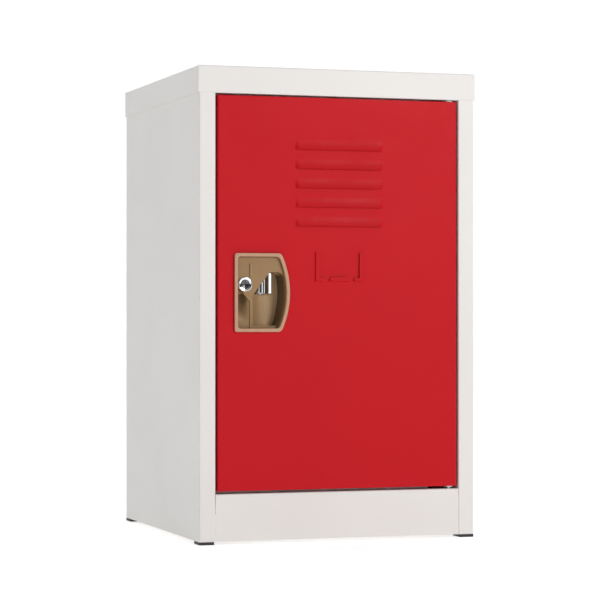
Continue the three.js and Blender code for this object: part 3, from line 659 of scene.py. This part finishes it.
def tube(line, radius, sides=12):
    """A round rod along a line of points, with domed ends."""
    dome = [math.radians(a) for a in (80, 55, 28)]
    first, last = (line[0] - line[1]).normalized(), (line[-1] - line[-2]).normalized()
    spine = [(line[0] + first * (radius * (math.sin(a) - 1)), math.cos(a)) for a in dome]
    spine += [(p, 1.0) for p in line[1:-1]]
    spine += [(line[-1] + last * (radius * (math.sin(a) - 1)), math.cos(a)) for a in reversed(dome)]
    rows = []
    normal = None
    for i, (here, share) in enumerate(spine):
        along = (spine[min(i + 1, len(spine) - 1)][0] - spine[max(i - 1, 0)][0]).normalized()
        normal = (normal or along.orthogonal()).normalized()
        normal = (normal - along * normal.dot(along)).normalized()
        side = along.cross(normal)
        turns = [2 * math.pi * k / sides for k in range(sides)]
        rows.append([here + (normal * math.cos(t) + side * math.sin(t)) * radius * share for t in turns])
    mesh = sheet_of(rows, closed=True)
    ends = bmesh.new()
    ends.from_mesh(mesh)
    bmesh.ops.holes_fill(ends, edges=ends.edges, sides=0)
    bmesh.ops.recalc_face_normals(ends, faces=ends.faces)
    ends.to_mesh(mesh)
    ends.free()
    return mesh


def cut(mesh, cutter):
    """The mesh with the cutter's volume taken out."""
    body, tool = bpy.data.objects.new("body", mesh), bpy.data.objects.new("tool", cutter)
    for piece in (body, tool):
        bpy.context.scene.collection.objects.link(piece)
    boolean = body.modifiers.new("cut", "BOOLEAN")
    boolean.object, boolean.operation, boolean.solver = tool, "DIFFERENCE", "EXACT"
    depsgraph = bpy.context.evaluated_depsgraph_get()
    result = bpy.data.meshes.new_from_object(body.evaluated_get(depsgraph))
    for piece in (body, tool):
        bpy.data.objects.remove(piece)
    return result


def turned(profile, middle, axis, sides=64):
    """A body of revolution round an axis through middle. profile holds (radius, distance along it)."""
    points, rings = [], []
    x, y, z = middle
    place = {
        "y": lambda r, a, t: (x + r * math.cos(a), y + t, z + r * math.sin(a)),
        "z": lambda r, a, t: (x + r * math.cos(a), y + r * math.sin(a), z + t),
        "x": lambda r, a, t: (x + t, y + r * math.cos(a), z + r * math.sin(a)),
    }[axis]
    for radius, along in profile:
        if radius < 1e-7:
            rings.append([len(points)])
            points.append(place(0, 0, along))
        else:
            rings.append(range(len(points), len(points) + sides))
            points += [place(radius, 2 * math.pi * i / sides, along) for i in range(sides)]
    faces = []
    for low, high in zip(rings, rings[1:]):
        for i in range(sides):
            j = (i + 1) % sides
            corners = [low[i % len(low)], low[j % len(low)], high[j % len(high)], high[i % len(high)]]
            face = list(dict.fromkeys(corners))
            if len(face) > 2:
                faces.append(face)
    return facing_out(mesh_of("turned", points, faces))


def copied(node):
    """A CAD node's mesh, welded, with its coplanar triangles merged."""
    mesh = frame["nodes"][node].data.copy()
    tidy = bmesh.new()
    tidy.from_mesh(mesh)
    bmesh.ops.remove_doubles(tidy, verts=tidy.verts, dist=1e-6)
    flat = math.radians(1)
    bmesh.ops.dissolve_limit(tidy, angle_limit=flat, verts=tidy.verts, edges=tidy.edges)
    tidy.to_mesh(mesh)
    tidy.free()
    return mesh


def smooth_step(t):
    t = min(1.0, max(0.0, t))
    return t * t * (3 - 2 * t)


def centre(node):
    low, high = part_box(node)
    return (low + high) / 2


def nodes_like(start):
    return sorted(node for node in frame["nodes"] if node.startswith(start))


# ---- Cabinet ----

JAMB = 17.2 * MM  # depth of the rebate that the door closes into
BACK_FLANGE = 16 * MM
STOP_LIP = 10 * MM
STOP_END = 130 * MM  # the stop strips end here, clear of the hinged edge
VALLEY = BEND - SHEET  # radius of a fold seen from its hollow side
CAP_SEAM = (19 * MM, 0.6 * MM, 3 * MM)  # from the back, width, and what is left above it
FLAT = 3 * MM  # a pan's flat face starts this far inside its edge


def look(node):
    return node + "_look"


def make_side_panels():
    lip_z = (rail_hi.z - STOP_LIP + 0.3 * MM, header_lo.z + STOP_LIP - 0.3 * MM)
    left = [
        (BACK_FLANGE - SIDE, BACK),
        (-SIDE, BACK),
        (-SIDE, FRONT),
        (-MOUTH, FRONT),
        (-MOUTH, FRONT + JAMB, VALLEY),
        (left_hi.x, FRONT + JAMB),
    ]
    right = [(-p[0], p[1]) for p in reversed(left[:-1])]
    levels = (left_lo.z, *lip_z, left_hi.z)

    def keep(point, level):
        on_lip = point.x > -MOUTH + 1e-6 and point.y > FRONT + JAMB - BEND
        return not on_lip or lip_z[0] < level < lip_z[1]

    sheet = strip(rounded(left, BEND), "z", levels, keep)
    finished(sheet, look("left_side_panel"), "left_side_panel", thickness=SHEET)
    sheet = strip(rounded(right, BEND), "z", (right_lo.z, right_hi.z))
    finished(sheet, look("right_side_panel"), "right_side_panel", thickness=SHEET)


def make_rails():
    ends = (header_lo.x, -MOUTH + STOP_LIP + 0.3 * MM, STOP_END, header_hi.x)

    def keep(point, level):
        on_lip = point.x > FRONT + JAMB - VALLEY
        return not on_lip or ends[1] < level < ends[2]

    soffit = header_lo.z + STOP_LIP
    rebate = FRONT + JAMB
    header = [(FRONT, header_hi.z), (FRONT, soffit), (rebate, soffit, VALLEY), (rebate, header_lo.z)]
    sheet = strip(rounded(header, BEND), "x", ends, keep)
    finished(sheet, look("header_rail"), "header_rail", thickness=SHEET)
    sill = rail_hi.z - STOP_LIP
    bottom = [(rebate, rail_hi.z), (rebate, sill, VALLEY), (FRONT, sill), (FRONT, rail_lo.z)]
    sheet = strip(rounded(bottom, BEND), "x", ends, keep)
    finished(sheet, look("bottom_rail"), "bottom_rail", thickness=SHEET)


def make_cap():
    top, skirt = cap_hi.z, cap_hi.z - cap_lo.z
    seam = BACK - CAP_SEAM[0]
    profile = [(0, skirt), (0, CAP_SEAM[2]), *rounded([(0, 1.5 * BEND), (0, 0), (FLAT, 0)], BEND)]
    sheet = pan(
        lambda u, v, depth: (u, v, top - depth),
        (cap_lo.x, cap_hi.x),
        (cap_lo.y, cap_hi.y),
        profile,
        slits=(seam, seam + CAP_SEAM[1]),
        slit_rows=1,
    )
    finished(sheet, look("top_cap"), "top_cap", thickness=SHEET)


def make_floor_tray():
    lo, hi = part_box("bottom_panel")
    profile = [(0, hi.z - lo.z), *rounded([(0, 2 * BEND), (0, 0), (FLAT, 0)], BEND)]
    sheet = pan(lambda u, v, depth: (u, v, hi.z - depth), (lo.x, hi.x), (lo.y, hi.y), profile)
    finished(sheet, look("bottom_panel"), "bottom_panel", thickness=SHEET)


def make_rivets():
    """Domed blind rivets, with the dimple that their mandrel leaves."""
    dome = [(0, 0.35), (0.9, 0.35), (1.1, 0.62), (1.6, 0.8), (2.4, 0.62), (3.0, 0.3), (3.2, 0)]
    dome += [(1.6, 0), (1.6, -4), (0, -4)]  # the shank
    profile = [(r * MM, along * MM) for r, along in dome]
    for node in nodes_like("rivet_"):
        middle = centre(node)
        mesh = turned(profile, (middle.x, BACK + 0.05 * MM, middle.z), "y", sides=32)
        finished(mesh, look(node), node)


HOOK_PLATE = 38 * MM
HOOK_WIRE = 3 * MM


def make_coat_hooks():
    """A rounded plate with two screw heads and a rod that runs out and turns up to a ball."""
    for node, side in (("coat_hook_left", -1), ("coat_hook_right", 1)):
        lo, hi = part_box(node)
        wall_x = max(abs(lo.x), abs(hi.x))
        reach = wall_x - min(abs(lo.x), abs(hi.x))
        width, plate_low, plate_high = hi.y - lo.y, lo.z, lo.z + HOOK_PLATE
        plate = rounded(
            [(lo.y, plate_low), (hi.y, plate_low), (hi.y, plate_high), (lo.y, plate_high)],
            width / 3,
            steps=8,
            closed=True,
        )
        meshes = [prism(plate, "x", wall_x - 1.6 * MM, wall_x)]
        foot = (plate_low + plate_high) / 2 - 3 * MM
        tip_x = wall_x - reach + HOOK_WIRE
        start, knee = Vector((wall_x - MM, 0, foot)), Vector((tip_x + 6 * MM, 0, foot - 9 * MM))
        turn, tip = Vector((tip_x - MM, 0, foot - 11 * MM)), Vector((tip_x, 0, hi.z - 2 * HOOK_WIRE))
        line = [bezier(start, knee, turn, tip, k / 28) for k in range(29)]
        meshes.append(tube(line, HOOK_WIRE, sides=20))
        for z in (plate_low + 6 * MM, plate_high - 5 * MM):
            head = [(0, 1.2), (1.5, 1.1), (2.4, 0.6), (2.6, 0), (0, 0)]
            head = [(r * MM, -along * MM) for r, along in head]
            meshes.append(turned(head, (wall_x - 1.6 * MM, 0, z), "x", sides=24))
        mesh = joined("hook", meshes)
        if side < 0:
            mesh.transform(Matrix.Scale(-1, 4, (1, 0, 0)))
            mesh.flip_normals()
        finished(mesh, look(node), node, bevel=(0.3 * MM, 2))


def make_pads_and_plates():
    for node in nodes_like("foot_"):
        edge = (0.25 * MM, 2) if "bracket" in node else (0.9 * MM, 3)
        finished(copied(node), look(node), node, bevel=edge)
    for node in nodes_like("door_bumper_"):
        finished(copied(node), look(node), node, bevel=(0.3 * MM, 2))
    finished(copied("back_panel"), look("back_panel"), "back_panel", bevel=(0.2 * MM, 2))


# ---- Hinges ----


def make_hinges():
    for end, sign in (("top", 1), ("bottom", -1)):
        node = "hinge_pin_" + end
        lo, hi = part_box(node)
        middle, radius, length = (lo + hi) / 2, (hi.x - lo.x) / 2, hi.z - lo.z
        head = hi.z if sign > 0 else lo.z
        shank, rim, chamfer = 2.5 * MM, 2 * MM, 0.6 * MM
        profile = [(0, 0), (radius - chamfer, 0), (radius, chamfer), (radius, rim), (shank, rim)]
        profile += [(shank, length - chamfer), (shank - chamfer, length), (0, length)]
        placed = [(r, -sign * along) for r, along in profile]
        finished(turned(placed, (middle.x, middle.y, head), "z", sides=40), look(node), node)

        node = "hinge_bush_" + end
        lo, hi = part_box(node)
        middle, flange, length = (lo + hi) / 2, (hi.x - lo.x) / 2, hi.z - lo.z
        face = hi.z if sign > 0 else lo.z
        bore, sleeve, edge = 2.65 * MM, 3.8 * MM, 0.3 * MM
        profile = [(bore, edge), (bore + edge, 0), (flange - edge, 0), (flange, edge)]
        profile += [(flange, MM), (sleeve, MM), (sleeve, length), (bore, length), (bore, edge)]
        placed = [(r, -sign * along) for r, along in profile]
        finished(turned(placed, (middle.x, middle.y, face), "z", sides=40), look(node), node)


# ---- Door ----

DOOR_LIP = 10 * MM
LOUVRE_WIDTH, LOUVRE_HEIGHT, LOUVRE_PROUD = 120.6 * MM, 13 * MM, 3 * MM
LOUVRE_COUNT, LOUVRE_PITCH, LOUVRE_LOWEST = 5, 24.75 * MM, 408.5 * MM
LOUVRE_END = 4.6 * MM  # length of the ramp at each end
CARD_BOTTOM, CARD_HEIGHT, CARD_HALF = 336.6 * MM, 37.6 * MM, 33.2 * MM
CARD_PROUD, CARD_BRACKET, CARD_FOOT, CARD_TOE = 2.3 * MM, 5.6 * MM, 12.6 * MM, 4.8 * MM
TAB_HALF, TAB_HEIGHT, TAB_CHAMFER = 13.2 * MM, 5.8 * MM, 2 * MM
RAMP = 1.0 * MM
RAMP_STEPS = [RAMP * k / 5 for k in range(6)]
DOOR_CUT = 2.2 * MM  # the cut-out is this far inside the handle's rim
HINGE_GAP = 1.1 * MM  # from a bush's outer face to the door's edge


def louvre(bottom):
    """A louvre pressed out of the door: (its mesh, the loop round its hole in the skin)."""
    half = LOUVRE_WIDTH / 2
    ramp = spread(0, LOUVRE_END, 8)
    inner = LOUVRE_WIDTH - 2 * LOUVRE_END
    xs = [e - half for e in ramp] + [LOUVRE_END - half + inner * k / 5 for k in range(1, 5)]
    xs += [half - e for e in reversed(ramp)]
    zs = [bottom + LOUVRE_HEIGHT * k / 12 for k in range(13)]

    def depth(x, z):
        end = smooth_step(min(x + half, half - x) / LOUVRE_END)
        return FRONT - LOUVRE_PROUD * end * ((bottom + LOUVRE_HEIGHT - z) / LOUVRE_HEIGHT) ** 1.7

    loop = [(-half, bottom), (half, bottom)] + [(half, z) for z in zs[1:]]
    loop += [(x, zs[-1]) for x in reversed(xs[1:-1])] + [(-half, z) for z in reversed(zs[1:])]
    return grid(xs, zs, depth), loop


def pressed_out(inside):
    """Where the card holder's sheet stands, this far inside its outer edge."""
    return FRONT + SHEET / 3 - (CARD_PROUD + SHEET / 3) * smooth_step(inside / RAMP)


def card_bracket(side):
    """One L of the card holder, ramped up out of the door on its outer edges."""
    across = sorted({*RAMP_STEPS, CARD_BRACKET, CARD_FOOT})
    up = sorted({*RAMP_STEPS, CARD_TOE, CARD_HEIGHT})
    xs = sorted(side * (CARD_HALF - a) for a in across)
    zs = [CARD_BOTTOM + u for u in up]

    def keep(x, z):
        return CARD_HALF - abs(x) < CARD_BRACKET or z < CARD_BOTTOM + CARD_TOE

    def depth(x, z):
        return pressed_out(min(CARD_HALF - abs(x), z - CARD_BOTTOM))

    return grid(xs, zs, depth, keep)


def card_tab():
    rows = []
    for rise in (*RAMP_STEPS, TAB_HEIGHT - TAB_CHAMFER, TAB_HEIGHT):
        half = TAB_HALF - (TAB_CHAMFER if rise == TAB_HEIGHT else 0)
        y, z = pressed_out(rise), CARD_BOTTOM + rise
        rows.append([(-half, y, z), (half, y, z)])
    return sheet_of(rows)


def make_door():
    bush_top, bush_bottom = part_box("hinge_bush_top")[1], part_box("hinge_bush_bottom")[0]
    z0, z1 = bush_bottom.z + HINGE_GAP, bush_top.z - HINGE_GAP
    lo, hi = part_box("door_panel")
    back = hi.y - FRONT
    profile = rounded([(DOOR_LIP, back), (0, back), (0, 0), (FLAT, 0)], BEND)
    edge = pan(lambda u, v, depth: (u, FRONT + depth, v), (lo.x, hi.x), (z0, z1), profile, filled=False)
    holes = [d_loop(DOOR_CUT)]
    meshes = [edge]
    for i in range(LOUVRE_COUNT):
        mesh, loop = louvre(LOUVRE_LOWEST + i * LOUVRE_PITCH)
        meshes.append(mesh)
        holes.append(loop)
    outer = rectangle((lo.x + FLAT, hi.x - FLAT), (z0 + FLAT, z1 - FLAT))
    points, triangles = triangulated(outer, holes)
    meshes.append(facing(points, triangles, lambda x, z: FRONT))
    door = joined("door", meshes, weld=1e-6)
    pressed = joined("card_holder", [card_bracket(-1), card_bracket(1), card_tab()])
    finished(door, look("door_panel"), "door_panel", thickness=SHEET, smooth=50)
    finished(pressed, "card_holder_look", "door_panel", thickness=SHEET * 0.95, smooth=50)


def make_stiffener():
    lo, hi = door_stiff_lo, door_stiff_hi
    web_left, web_right = lo.x + DOOR_LIP, hi.x - DOOR_LIP
    y, crown = lo.y, hi.y - SHEET
    path = [(lo.x, y), (web_left, y, VALLEY), (web_left, crown)]
    path += [(web_right, crown), (web_right, y, VALLEY), (hi.x, y)]
    mesh = strip(rounded(path, BEND), "z", (lo.z, hi.z))
    finished(mesh, look("door_stiffener"), "door_stiffener", thickness=SHEET)


# ---- Handle ----

HANDLE_BOW = 114.6 * MM  # radius of its right-hand edge
BOW_MIDDLE = Vector((handle_hi.x - HANDLE_BOW, (handle_lo.z + handle_hi.z) / 2))
ARC_STEPS, CORNER_STEPS = 40, 6
HANDLE_CORNER = 4 * MM
TRAY_DEPTH = 6 * MM
TRAY_INSET = 4.85 * MM
RIM_SECTION = [
    (2.1, 0), (2.1, -1.8), (0.2, -1.95), (0, -2.1), (0, -2.8), (0.15, -3.15), (0.5, -3.4),
    (1, -3.5), (3.7, -3.5), (4.2, -3.3), (4.55, -2.9), (4.7, -2.3), (4.85, 6.0),
]  # (inset, depth) in mm: up the outside, over the crown and down to the tray
CUP_CREASE, CUP_KNEE = -116.5 * MM, -78 * MM
CUP_BOTTOM, CUP_TOP, CUP_DEPTH, CUP_CORNER = 279.5 * MM, 348.5 * MM, 27 * MM, 10 * MM
CUP_INSET = 5.0 * MM  # of its right-hand wall, from the outline
CUP_CONTROL = (CUP_CREASE + 19 * MM, TRAY_DEPTH + 10.5 * MM)
CUP_LEAN = 2.6 * MM  # its right-hand wall leans in by this towards the floor
NICHE_LEFT, NICHE_RIGHT, NICHE_BOTTOM, NICHE_DEPTH = -113 * MM, -86 * MM, 320 * MM, 26.6 * MM
HOLLOW_X, HOLLOW_Z, HOLLOW_DEPTH = (-137.2 * MM, -120.6 * MM), (284 * MM, 320 * MM), 13 * MM
GROOVE_X, GROOVE_Z, GROOVE_DEPTH = (-120.3 * MM, -119.4 * MM), (276.5 * MM, 312 * MM), 1.4 * MM
HANDLE_SHELL = 1.5 * MM


def d_loop(inset):
    """The handle's D in x and z, moved inwards, anticlockwise from its bottom left."""
    radius, middle = HANDLE_BOW - inset, BOW_MIDDLE
    x0, z0, z1 = handle_lo.x + inset, handle_lo.z + inset, handle_hi.z - inset
    reach = z1 - middle.y
    corner_x = middle.x + math.sqrt(radius**2 - reach**2)
    sweep = math.asin((reach - HANDLE_CORNER) / radius)
    angles = spread(-sweep, sweep, ARC_STEPS)
    arc = [middle + Vector((math.cos(a), math.sin(a))) * radius for a in angles]
    c = HANDLE_CORNER
    return [
        *quadratic((x0, z0 + c), (x0, z0), (x0 + c, z0), CORNER_STEPS),
        *quadratic((corner_x - c, z0), (corner_x, z0), arc[0], CORNER_STEPS)[:-1],
        *arc,
        *quadratic(arc[-1], (corner_x, z1), (corner_x - c, z1), CORNER_STEPS)[1:],
        *quadratic((x0 + c, z1), (x0, z1), (x0, z1 - c), CORNER_STEPS),
    ]


def cup_floor(x):
    """Depth of the cup's floor: a curve from the crease to the knee, and flat from there."""
    if x >= CUP_KNEE:
        return CUP_DEPTH
    low, high = 0.0, 1.0
    for _ in range(30):
        t = (low + high) / 2
        at = (1 - t) ** 2 * CUP_CREASE + 2 * t * (1 - t) * CUP_CONTROL[0] + t * t * CUP_KNEE
        low, high = (t, high) if at < x else (low, t)
    return (1 - t) ** 2 * TRAY_DEPTH + 2 * t * (1 - t) * CUP_CONTROL[1] + t * t * CUP_DEPTH


def cup_edge(z):
    """Where the cup's right-hand wall stands at a height."""
    return BOW_MIDDLE.x + math.sqrt((HANDLE_BOW - CUP_INSET) ** 2 - (z - BOW_MIDDLE.y) ** 2)


def cup_corner():
    """The cup's rounded top right corner, from its right-hand wall to its top."""
    edge = cup_edge(CUP_TOP - CUP_CORNER)
    arc = [
        (edge - CUP_CORNER * (1 - math.cos(a)), CUP_TOP - CUP_CORNER * (1 - math.sin(a)))
        for a in spread(0, math.pi / 2, 10)
    ]
    return [(min(x, cup_edge(z)), z) for x, z in arc]


def leaning(point):
    """A point of the cup's right-hand wall, moved to where that wall meets the floor."""
    return (point[0] - CUP_LEAN, point[1])


def handle_tray():
    """The tray's flat floor, the cup with its niche, the hollow under the lock and the groove."""
    slope = spread(CUP_CREASE, cup_edge(CUP_BOTTOM) - CUP_LEAN, 18)
    right_low = [(cup_edge(z), z) for z in spread(CUP_BOTTOM, NICHE_BOTTOM, 12)]
    right_high = [(cup_edge(z), z) for z in spread(NICHE_BOTTOM, CUP_TOP - CUP_CORNER, 6)]
    corner = cup_corner()
    bottom = [(x, CUP_BOTTOM) for x in slope[:-1]]
    niche_side = [x for x in slope if NICHE_LEFT < x < NICHE_RIGHT]
    ledge = [(x, NICHE_BOTTOM) for x in (NICHE_LEFT, *niche_side, NICHE_RIGHT)]
    top_right, top_niche = (NICHE_RIGHT, CUP_TOP), (NICHE_LEFT, CUP_TOP)
    top_left = (CUP_CREASE, CUP_TOP)
    right = [*right_low, *right_high[1:], *corner[1:]]
    foot = [leaning(p) for p in right]

    def at_tray(x, z):
        return FRONT + TRAY_DEPTH

    def at_floor(x, z):
        return FRONT + cup_floor(x)

    def at_back(x, z):
        return FRONT + NICHE_DEPTH

    def at_groove(x, z):
        return FRONT + TRAY_DEPTH + GROOVE_DEPTH

    hx, hz = HOLLOW_X, HOLLOW_Z
    hollow = [
        *((x, hz[0]) for x in spread(*hx, 8)),
        *((hx[1], z) for z in spread(*hz, 10)[1:]),
        *((x, hz[1]) for x in reversed(spread(*hx, 8)[:-1])),
        *((hx[0], z) for z in reversed(spread(*hz, 10)[1:-1])),
    ]

    def in_hollow(x, z):
        across = (hx[1] - x) / (hx[1] - hx[0])
        up = (z - hz[0]) / (hz[1] - hz[0])
        share = smooth_step(1.4 * across) * smooth_step(1.3 * up)
        return FRONT + TRAY_DEPTH + (HOLLOW_DEPTH - TRAY_DEPTH) * share

    groove = rectangle(GROOVE_X, GROOVE_Z)
    opening = [*bottom, *right, top_right, top_niche, top_left]
    curved = [*bottom, *foot, top_right, *reversed(ledge[1:]), ledge[0], top_niche, top_left]
    rows = spread(CUP_BOTTOM, NICHE_BOTTOM, 8)[1:-1]
    inner = [(x, z) for x in slope[1:-1] for z in rows]
    columns = spread(NICHE_RIGHT, foot[-1][0], 4)[1:-1]
    inner += [(x, z) for x in columns for z in spread(NICHE_BOTTOM, CUP_TOP, 5)[1:-1]]
    niche = [*ledge, top_right, top_niche]
    hollow_inner = [(x, z) for x in spread(*hx, 8)[1:-1] for z in spread(*hz, 10)[1:-1]]
    near_wall = [(p[0], FRONT + TRAY_DEPTH, p[1]) for p in right]
    far_wall = [(p[0], FRONT + cup_floor(p[0]), p[1]) for p in foot]
    return [
        facing(*triangulated(d_loop(TRAY_INSET), [opening, hollow, groove]), at_tray),
        facing(*triangulated(curved, (), inner), at_floor),
        facing(*triangulated(niche), at_back),
        facing(*triangulated(hollow, (), hollow_inner), in_hollow),
        facing(*triangulated(groove), at_groove),
        sheet_of([near_wall, far_wall]),
        wall([*bottom, foot[0]], at_tray, at_floor, closed=False),
        wall([foot[-1], top_right, top_niche], at_tray, at_floor, closed=False),
        wall([top_niche, top_left], at_tray, at_floor, closed=False),
        wall([top_right, top_niche], at_floor, at_back, closed=False),
        wall([top_niche, ledge[0]], at_floor, at_back, closed=False),
        wall([ledge[-1], top_right], at_floor, at_back, closed=False),
        wall(ledge, at_floor, at_back, closed=False),
        wall(hollow, at_tray, in_hollow),
        wall(groove, at_tray, at_groove),
    ]


def make_handle():
    section = [(inset * MM, FRONT + depth * MM) for inset, depth in RIM_SECTION]
    rows = [[(x, y, z) for x, z in d_loop(inset)] for inset, y in section]
    meshes = [sheet_of(rows, closed=True), *handle_tray()]
    shell = joined("handle", meshes, weld=2e-6)
    clean = bmesh.new()
    clean.from_mesh(shell)
    bmesh.ops.dissolve_degenerate(clean, dist=1e-6, edges=clean.edges)
    clean.to_mesh(shell)
    clean.free()
    name = "handle_plate"
    finished(shell, look(name), name, thickness=HANDLE_SHELL, smooth=40, even=False)


VEE = [(-137, 327.5), (-131.7, 323.6), (-121.9, 311.3), (-111.6, 326), (-94.4, 348)]  # in mm
RIB_X, RIB_Z = (-121 * MM, -118.4 * MM), (342.6 * MM, 358.6 * MM)
SHELF_INSET = 5 * MM
LOCK_BORE = 8 * MM  # radius of the hole that the lock's barrel goes through


def make_housing():
    """The shelf along the top of the tray, running down into the V that carries the lock."""
    lo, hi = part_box("lock_housing")
    front, back = hi.y - 4.7 * MM, hi.y
    lock = centre("lock_cylinder")
    corner = [p for p in cup_corner() if p[0] < cup_edge(p[1]) - 0.05 * MM]
    top = [p for p in d_loop(SHELF_INSET) if p[1] > corner[0][1] + 0.2 * MM]
    outline = [(x * MM, z * MM) for x, z in VEE] + corner[::-1] + top
    plate = prism(outline, "y", front, back)
    bore = LOCK_BORE
    hole_section = [(0, front - MM), (bore, front - MM), (bore, back + MM), (0, back + MM)]
    hole = turned(hole_section, (lock.x, 0, lock.z), "y")
    rib = prism(rectangle(RIB_X, RIB_Z), "y", lo.y, back - MM)
    mesh = joined("housing", [cut(plate, hole), rib])
    finished(mesh, look("lock_housing"), "lock_housing", bevel=(0.55 * MM, 3))


# ---- Lock and latch ----


def make_lock():
    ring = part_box("lock_cylinder")
    middle = (ring[0] + ring[1]) / 2
    place = (middle.x, FRONT, middle.z)
    flange = (ring[1].x - ring[0].x) / 2 / MM
    bore, barrel, end = 5.75, 7.5, 17
    section = [
        (bore, -0.5), (bore + 0.35, -0.9), (flange - 1.3, -1.4), (flange - 0.9, -1.4),
        (flange - 0.5, -1.2), (flange - 0.1, -0.7), (flange, 0), (flange, 0.8), (barrel, 0.8),
        (barrel, end), (bore, end), (bore, -0.5),
    ]
    mesh = turned([(r * MM, y * MM) for r, y in section], place, "y", sides=96)
    finished(mesh, look("lock_cylinder"), "lock_cylinder")

    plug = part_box("lock_plug")
    radius, back = 5.6, (plug[1].y - FRONT) / MM
    section = [
        (0, -0.5), (2, -0.55), (4, -0.75), (radius - 0.5, -1.15), (radius - 0.1, -1.1), (radius, -0.8),
        (radius, end + 1.5), (3, end + 1.5), (3, back), (0, back),
    ]
    mesh = turned([(r * MM, y * MM) for r, y in section], place, "y", sides=96)
    key = [(-0.55, -3.4), (0.2, -3.4), (0.2, -1.2), (0.6, -0.7), (0.6, 1.1), (0.2, 1.6)]
    key += [(0.2, 3.4), (-0.55, 3.4)]
    outline = [(middle.x + u * MM, middle.z + v * MM) for u, v in key]
    keyway = prism(outline, "y", FRONT - 3 * MM, FRONT + 12 * MM)
    finished(cut(mesh, keyway), look("lock_plug"), "lock_plug", finish=TURNED_FACE)


def make_lever():
    """The chrome finger lever: a drum with a lip on its right, rounded top and bottom."""
    shaft = centre("lever_shaft")
    lo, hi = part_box("latch_lever")
    radius = shaft.x - lo.x
    near, far = -2.6 * MM, 1.4 * MM
    x, y = shaft.x, shaft.y
    start, stop = math.asin(far / radius), 2 * math.pi + math.asin(1.7 * near / radius)
    drum = [(x + radius * math.cos(a), y + radius * math.sin(a)) for a in spread(start, stop, 72)]
    neck = (x + radius + 2.4 * MM, y + near)
    fillet = quadratic(drum[-1], (x + radius, y + near), neck, 10)
    corners = [fillet[-1], (hi.x, y + near), (hi.x, y + far), drum[0]]
    lip = rounded(corners, 0.6 * MM, steps=6)
    mesh = prism([*drum, *fillet[1:], *lip[1:-1]], "z", lo.z, hi.z)
    finished(mesh, look("latch_lever"), "latch_lever", bevel=(0.9 * MM, 4), smooth=30)


def make_spring():
    lo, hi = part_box("bolt_spring")
    wire = 0.7 * MM
    radius = (hi.z - lo.z) / 2 - wire
    middle = (lo + hi) / 2
    turns, per_turn, start, end = 5, 28, lo.x + wire, hi.x - wire
    line = []
    for t in spread(0, 1, turns * per_turn):
        angle = 2 * math.pi * turns * t
        y, z = middle.y + radius * math.cos(angle), middle.z + radius * math.sin(angle)
        line.append(Vector((start + (end - start) * t, y, z)))
    spring = finished(tube(line, wire, sides=14), look("bolt_spring"), "bolt_spring")
    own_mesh(spring)


HARDWARE = (
    "lock_nut", "lock_cam", "cam_screw", "lever_shaft", "lever_crank", "latch_bolt",
    "bolt_guide_left", "bolt_guide_right", "spring_anchor", "handle_clip_top", "handle_clip_bottom",
)


def make_hardware():
    for node in HARDWARE:
        finished(copied(node), look(node), node, bevel=(0.2 * MM, 2))


# ---- Assembly ----

bpy.context.scene.view_settings.view_transform = "Standard"
make_camera()
make_world()
make_stage()
make_lights()
make_side_panels()
make_rails()
make_cap()
make_floor_tray()
make_rivets()
make_coat_hooks()
make_pads_and_plates()
make_hinges()
make_door()
make_stiffener()
make_handle()
make_housing()
make_lock()
make_lever()
make_spring()
make_hardware()
